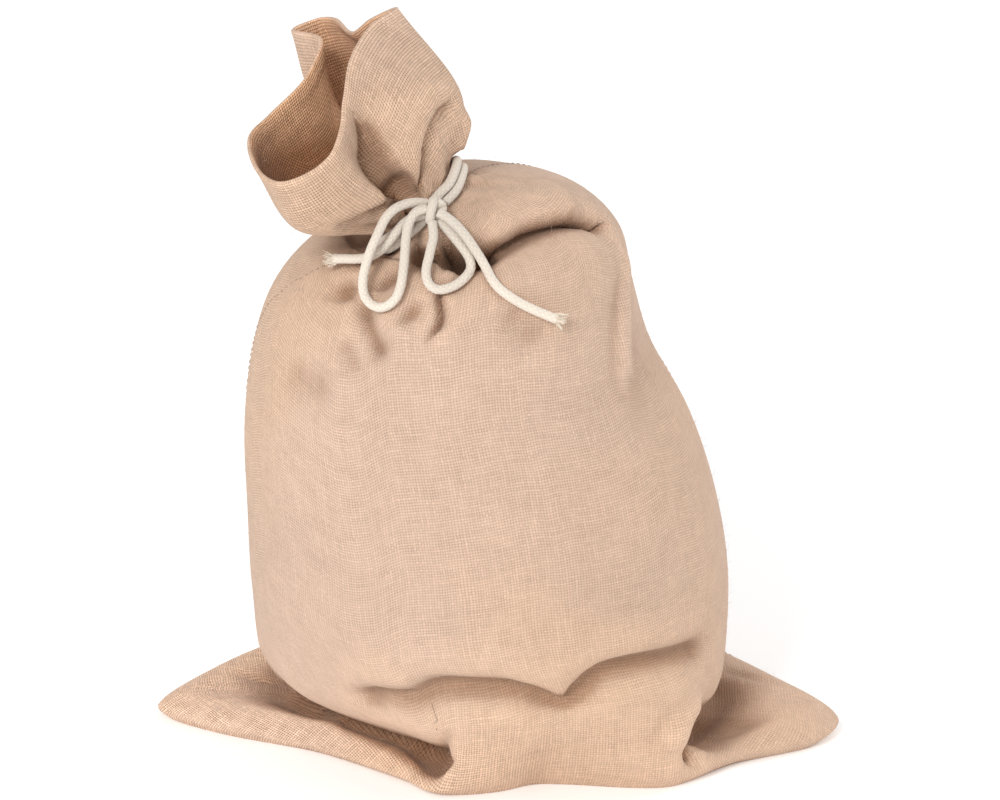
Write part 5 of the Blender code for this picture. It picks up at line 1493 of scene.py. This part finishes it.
def build_fibres(sizes):
    """The fuzz of the cloth."""
    cloth = bpy.data.objects["sack_cloth_looks"]
    values = {"Density": sizes.fibre_density, "Length": sizes.fibre_length, "Thickness": FIBRE_THICKNESS}
    values |= {"Lowest": FIBRE_LOWEST, "Seed": FIBRE_SEED, "Thread": jute_fibre(sizes)}
    finish(run_tree(fibre_tree(), "cloth_fibres", cloth.data.copy(), values), "jute")


# ---------------------------------------------------------------- the cord
def carried_frames(line):
    """Two directions square to a line at each of its places, carried along it without a twist."""
    tangent = np.gradient(line, axis=0)
    tangent /= np.linalg.norm(tangent, axis=1, keepdims=True)
    start = np.cross(tangent[0], (0.0, 0.0, 1.0))
    if np.linalg.norm(start) < 0.1:
        start = np.cross(tangent[0], (0.0, 1.0, 0.0))
    side = [start / np.linalg.norm(start)]
    for way in tangent[1:]:
        carried = side[-1] - way * np.dot(side[-1], way)
        side.append(carried / np.linalg.norm(carried))
    side = np.array(side)
    return tangent, side, np.cross(tangent, side)


def lay_chart(run, sides):
    """The map of a cord's surface: how far along it and round it each face's corners are."""
    around = np.arange(sides + 1) / sides
    return corner_map(np.stack(np.broadcast_arrays(run[:, None], around[None, :]), axis=2))


def braided_tube(name, line, material):
    """A cord's tube of plaits along a line, and the line's evenly spaced places."""
    length = np.linalg.norm(np.diff(line, axis=0), axis=1).sum()
    line = even_line(line, length / round(length / RING_STEP))
    run = np.linspace(0.0, length, len(line))
    _, side, up = carried_frames(line)
    angle = TURN * np.arange(CORD_SIDES) / CORD_SIDES
    lay = TURN * run[:, None] / PLAIT_LAY
    crossing = np.sin(PLAITS * angle + lay * 0.5) * np.sin(PLAITS * angle - lay * 0.5)
    radius = CORD / 2 * (1.0 + PLAIT_RELIEF * (np.abs(crossing) * 2.0 - 1.0))
    rows = line[:, None, :] + radius[:, :, None] * (
        side[:, None, :] * np.cos(angle)[None, :, None] + up[:, None, :] * np.sin(angle)[None, :, None]
    )
    mesh = grid_mesh(name, rows, lay_chart(run, CORD_SIDES), "lay")
    return add_piece(name, mesh, material), line


def into_knot(line):
    """A cord's line, carried on into the knot where it ends beside it."""
    toward = np.array(KNOT_CENTRE) - line[-1]
    far = np.linalg.norm(toward)
    if far > KNOT_REACH:
        return line
    way = line[-1] - line[-2]
    step = way / np.linalg.norm(way) * (1.0 - KNOT_TURN) + toward / far * KNOT_TURN
    return np.concatenate([line, (line[-1] + step * KNOT_RUN)[None]])


def build_cords(sizes):
    """The cord's two turns round the neck, its two loops and its two tails."""
    material = cotton_cord(sizes)
    lines = fine_sack()[3]
    for name, line in lines.items():
        line = into_knot(into_knot(line)[::-1])[::-1]
        tube, path = braided_tube(f"{name}_cord", line, material)
        finish(tube, "cotton", name)
        "bare" if name in TAILS else "object"
        path[:: max(1, len(path) // 60)].tolist() + [path[-1].tolist()]


def knot_place(x, y, z):
    """A place in the knot, which leans, from its place in an upright one."""
    return KNOT_CENTRE[0] + x + z * KNOT_LEAN, KNOT_CENTRE[1] + y, KNOT_CENTRE[2] + z


def knot_ring(height):
    """The knot's outline at the given share of the way up."""
    tilt = math.pi * height
    z = -KNOT_HALF_HEIGHT * math.cos(tilt)
    ring = []
    for side in range(KNOT_COLUMNS):
        angle = TURN * side / KNOT_COLUMNS
        in_front = angle > math.pi
        width = KNOT_RIGHT if math.cos(angle) > 0 else KNOT_LEFT
        depth = KNOT_FRONT if angle >= math.pi else KNOT_BACK
        x = width * math.sin(tilt) * math.cos(angle)
        y = depth * math.sin(tilt) * math.sin(angle)
        if in_front and x > 0:
            off = (z - CREASE_SLOPE * x - CREASE_HEIGHT) / CREASE_WIDTH
            y += CREASE_SWELL * math.exp(-(off**2))
        ring.append(knot_place(x, y, z))
    return ring


def build_knot():
    """The knot: the cord's crossed turns pressed together, and the strand that binds them."""
    material = bpy.data.materials["cotton_cord"]
    steps = range(1, KNOT_ROWS)
    run = np.array([step * 2 * KNOT_HALF_HEIGHT / KNOT_ROWS for step in steps])
    rings = [knot_ring(step / KNOT_ROWS) for step in steps]
    mesh = grid_mesh("tie_knot_turns", rings, lay_chart(run, KNOT_COLUMNS), "lay")
    finish(add_piece("tie_knot_turns", mesh, material), "cotton", "tie_knot")

    strand = []
    low, high = STRAND_SPAN
    for step in range(STRAND_STEPS + 1):
        tilt = math.pi * (low + (high - low) * step / STRAND_STEPS)
        out = math.sin(tilt)
        y = STRAND_TUCK * (1 - out) - (KNOT_FRONT + KNOT_NOSE - CORD / 2) * out**STRAND_BEND
        strand.append(knot_place(0.0, y, -(KNOT_HALF_HEIGHT - STRAND_INSET) * math.cos(tilt)))
    tube, _ = braided_tube("tie_knot_strand", np.array(strand), material)
    finish(tube, "cotton")


def fray_mesh(name, line, strands, seed):
    """A bundle of fine strands that spread from the end of a cord."""
    chance = np.random.default_rng(seed)

    def drawn(least, more):
        return least + more * chance.random()

    tangent, side, up = carried_frames(line)
    way, side, up = tangent[-1], side[-1], up[-1]
    base = line[-1] - way * FRAY_ROOT
    rim = CORD * FRAY_FILL
    places, faces = [], []
    for _ in range(strands):
        spot = math.sqrt(chance.random()) * rim
        angle = chance.random() * TURN
        across = side * math.cos(angle) + up * math.sin(angle)
        length = drawn(*FRAY_LENGTH)
        flare = spot / rim * drawn(*FRAY_FLARE)
        droop = drawn(0.0, FRAY_DROOP)
        wave = chance.normal(0.0, FRAY_WAVE, 2)
        thick = drawn(*FRAY_RADIUS)
        first = len(places)
        for ring in range(FRAY_RINGS + 1):
            share = ring / FRAY_RINGS
            centre = base + across * (spot + flare * share**FRAY_CURL) + way * length * share
            centre = centre + (side * wave[0] + up * wave[1]) * math.sin(share * FRAY_WAVE_RUN)
            centre = centre - np.array((0.0, 0.0, droop)) * share**2
            for s in range(FRAY_SIDES):
                turn = TURN * s / FRAY_SIDES
                spoke = side * math.cos(turn) + up * math.sin(turn)
                places.append(centre + spoke * thick * (1.0 - FRAY_TAPER * share))
        faces += strand_faces(first)
    mesh = bpy.data.meshes.new(name)
    mesh.from_pydata([tuple(p) for p in places], [], faces)
    mesh.update()
    return mesh


def strand_faces(first):
    """The faces of one frayed strand, whose places start at the given number."""
    faces = []
    for ring in range(FRAY_RINGS):
        a, b = first + ring * FRAY_SIDES, first + (ring + 1) * FRAY_SIDES
        for s in range(FRAY_SIDES):
            n = (s + 1) % FRAY_SIDES
            faces.append((a + s, a + n, b + n, b + s))
    faces.append(tuple(first + s for s in reversed(range(FRAY_SIDES))))
    faces.append(tuple(first + FRAY_RINGS * FRAY_SIDES + s for s in range(FRAY_SIDES)))
    return faces


def build_frays(sizes):
    """The frayed ends of the two tails."""
    material = cotton_fray(sizes)
    lines = fine_sack()[3]
    for seed, name in enumerate(TAILS, FRAY_SEED):
        mesh = fray_mesh(f"{name}_fray", even_line(lines[name], RING_STEP), sizes.fray_strands, seed)
        finish(add_piece(f"{name}_fray", mesh, material), "cotton")


# ---------------------------------------------------------------- the stage
def aim(thing, place, target):
    """Puts a light or the camera at a place and turns it to a target."""
    thing.location = place
    away = mathutils.Vector(place) - mathutils.Vector(target)
    thing.rotation_euler = away.to_track_quat("Z", "Y").to_euler()
    bpy.context.collection.objects.link(thing)


def build_stage():
    """The floor, the light and the camera."""
    scene = bpy.context.scene
    camera = bpy.data.cameras.new("camera")
    camera.lens, camera.sensor_width = CAMERA_LENS, CAMERA_SENSOR
    scene.camera = bpy.data.objects.new("camera", camera)
    aim(scene.camera, CAMERA_PLACE, CAMERA_TARGET)

    half = FLOOR_HALF
    floor = bpy.data.meshes.new("floor")
    corners = [(-half, -half, 0.0), (half, -half, 0.0), (half, half, 0.0), (-half, half, 0.0)]
    floor.from_pydata(corners, [], [(0, 1, 2, 3)])
    add_piece("floor", floor, studio_floor())

    scene.world = bpy.data.worlds.new("studio")
    scene.world.use_nodes = True
    sky = scene.world.node_tree.nodes["Background"]
    sky.inputs["Color"].default_value = (1.0, 1.0, 1.0, 1.0)
    sky.inputs["Strength"].default_value = SKY_STRENGTH
    for name, place, watts, colour in LIGHTS:
        light = bpy.data.lights.new(name, "AREA")
        light.energy, light.size, light.color = watts, LIGHT_SIZE, colour
        aim(bpy.data.objects.new(name, light), place, LIGHT_TARGET)
    scene.view_settings.view_transform = "Standard"


# ---------------------------------------------------------------- operators
class SACK_OT_stage(bpy.types.Operator):
    """Build the floor, the light and the camera"""

    bl_idname = "sack.stage"
    bl_label = "Stage"

    def execute(self, context):
        build_stage()
        return {"FINISHED"}


class SACK_OT_cords(bpy.types.Operator):
    """Build the cord's turns, loops and tails"""

    bl_idname = "sack.cords"
    bl_label = "Cord"

    def execute(self, context):
        build_cords(settings())
        return {"FINISHED"}


class SACK_OT_knot(bpy.types.Operator):
    """Build the knot"""

    bl_idname = "sack.knot"
    bl_label = "Knot"

    def execute(self, context):
        build_knot()
        return {"FINISHED"}


class SACK_OT_frays(bpy.types.Operator):
    """Build the frayed ends of the tails"""

    bl_idname = "sack.frays"
    bl_label = "Frayed ends"

    def execute(self, context):
        build_frays(settings())
        return {"FINISHED"}


class SACK_OT_cloth(bpy.types.Operator):
    """Build the sack's woven cloth"""

    bl_idname = "sack.cloth"
    bl_label = "Cloth"

    def execute(self, context):
        build_cloth(settings())
        return {"FINISHED"}


class SACK_OT_seams(bpy.types.Operator):
    """Stitch the side seams"""

    bl_idname = "sack.seams"
    bl_label = "Seams"

    def execute(self, context):
        build_seams(settings())
        return {"FINISHED"}


class SACK_OT_fibres(bpy.types.Operator):
    """Raise loose fibres from the cloth"""

    bl_idname = "sack.fibres"
    bl_label = "Fibres"

    def execute(self, context):
        build_fibres(settings())
        return {"FINISHED"}


class SACK_PT_panel(bpy.types.Panel):
    """The sack's settings and its steps, in order"""

    bl_idname = "SACK_PT_panel"
    bl_label = "Burlap sack"
    bl_space_type = "VIEW_3D"
    bl_region_type = "UI"
    bl_category = "Sack"

    def draw(self, context):
        for name in SackSettings.__annotations__:
            self.layout.prop(context.scene.sack, name)
        for step in STEPS:
            self.layout.operator(step.bl_idname)


STEPS = (
    SACK_OT_stage,
    SACK_OT_cords,
    SACK_OT_knot,
    SACK_OT_frays,
    SACK_OT_cloth,
    SACK_OT_seams,
    SACK_OT_fibres,
)
CLASSES = (SackSettings, *STEPS, SACK_PT_panel)


def register():
    for item in CLASSES:
        bpy.utils.register_class(item)
    bpy.types.Scene.sack = PointerProperty(type=SackSettings)


def unregister():
    del bpy.types.Scene.sack
    for item in reversed(CLASSES):
        bpy.utils.unregister_class(item)


def main():
    """Registers the add-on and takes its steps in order."""
    register()
    for step in STEPS:
        getattr(bpy.ops.sack, step.bl_idname.split(".")[1])()


if __name__ == "__main__":
    main()
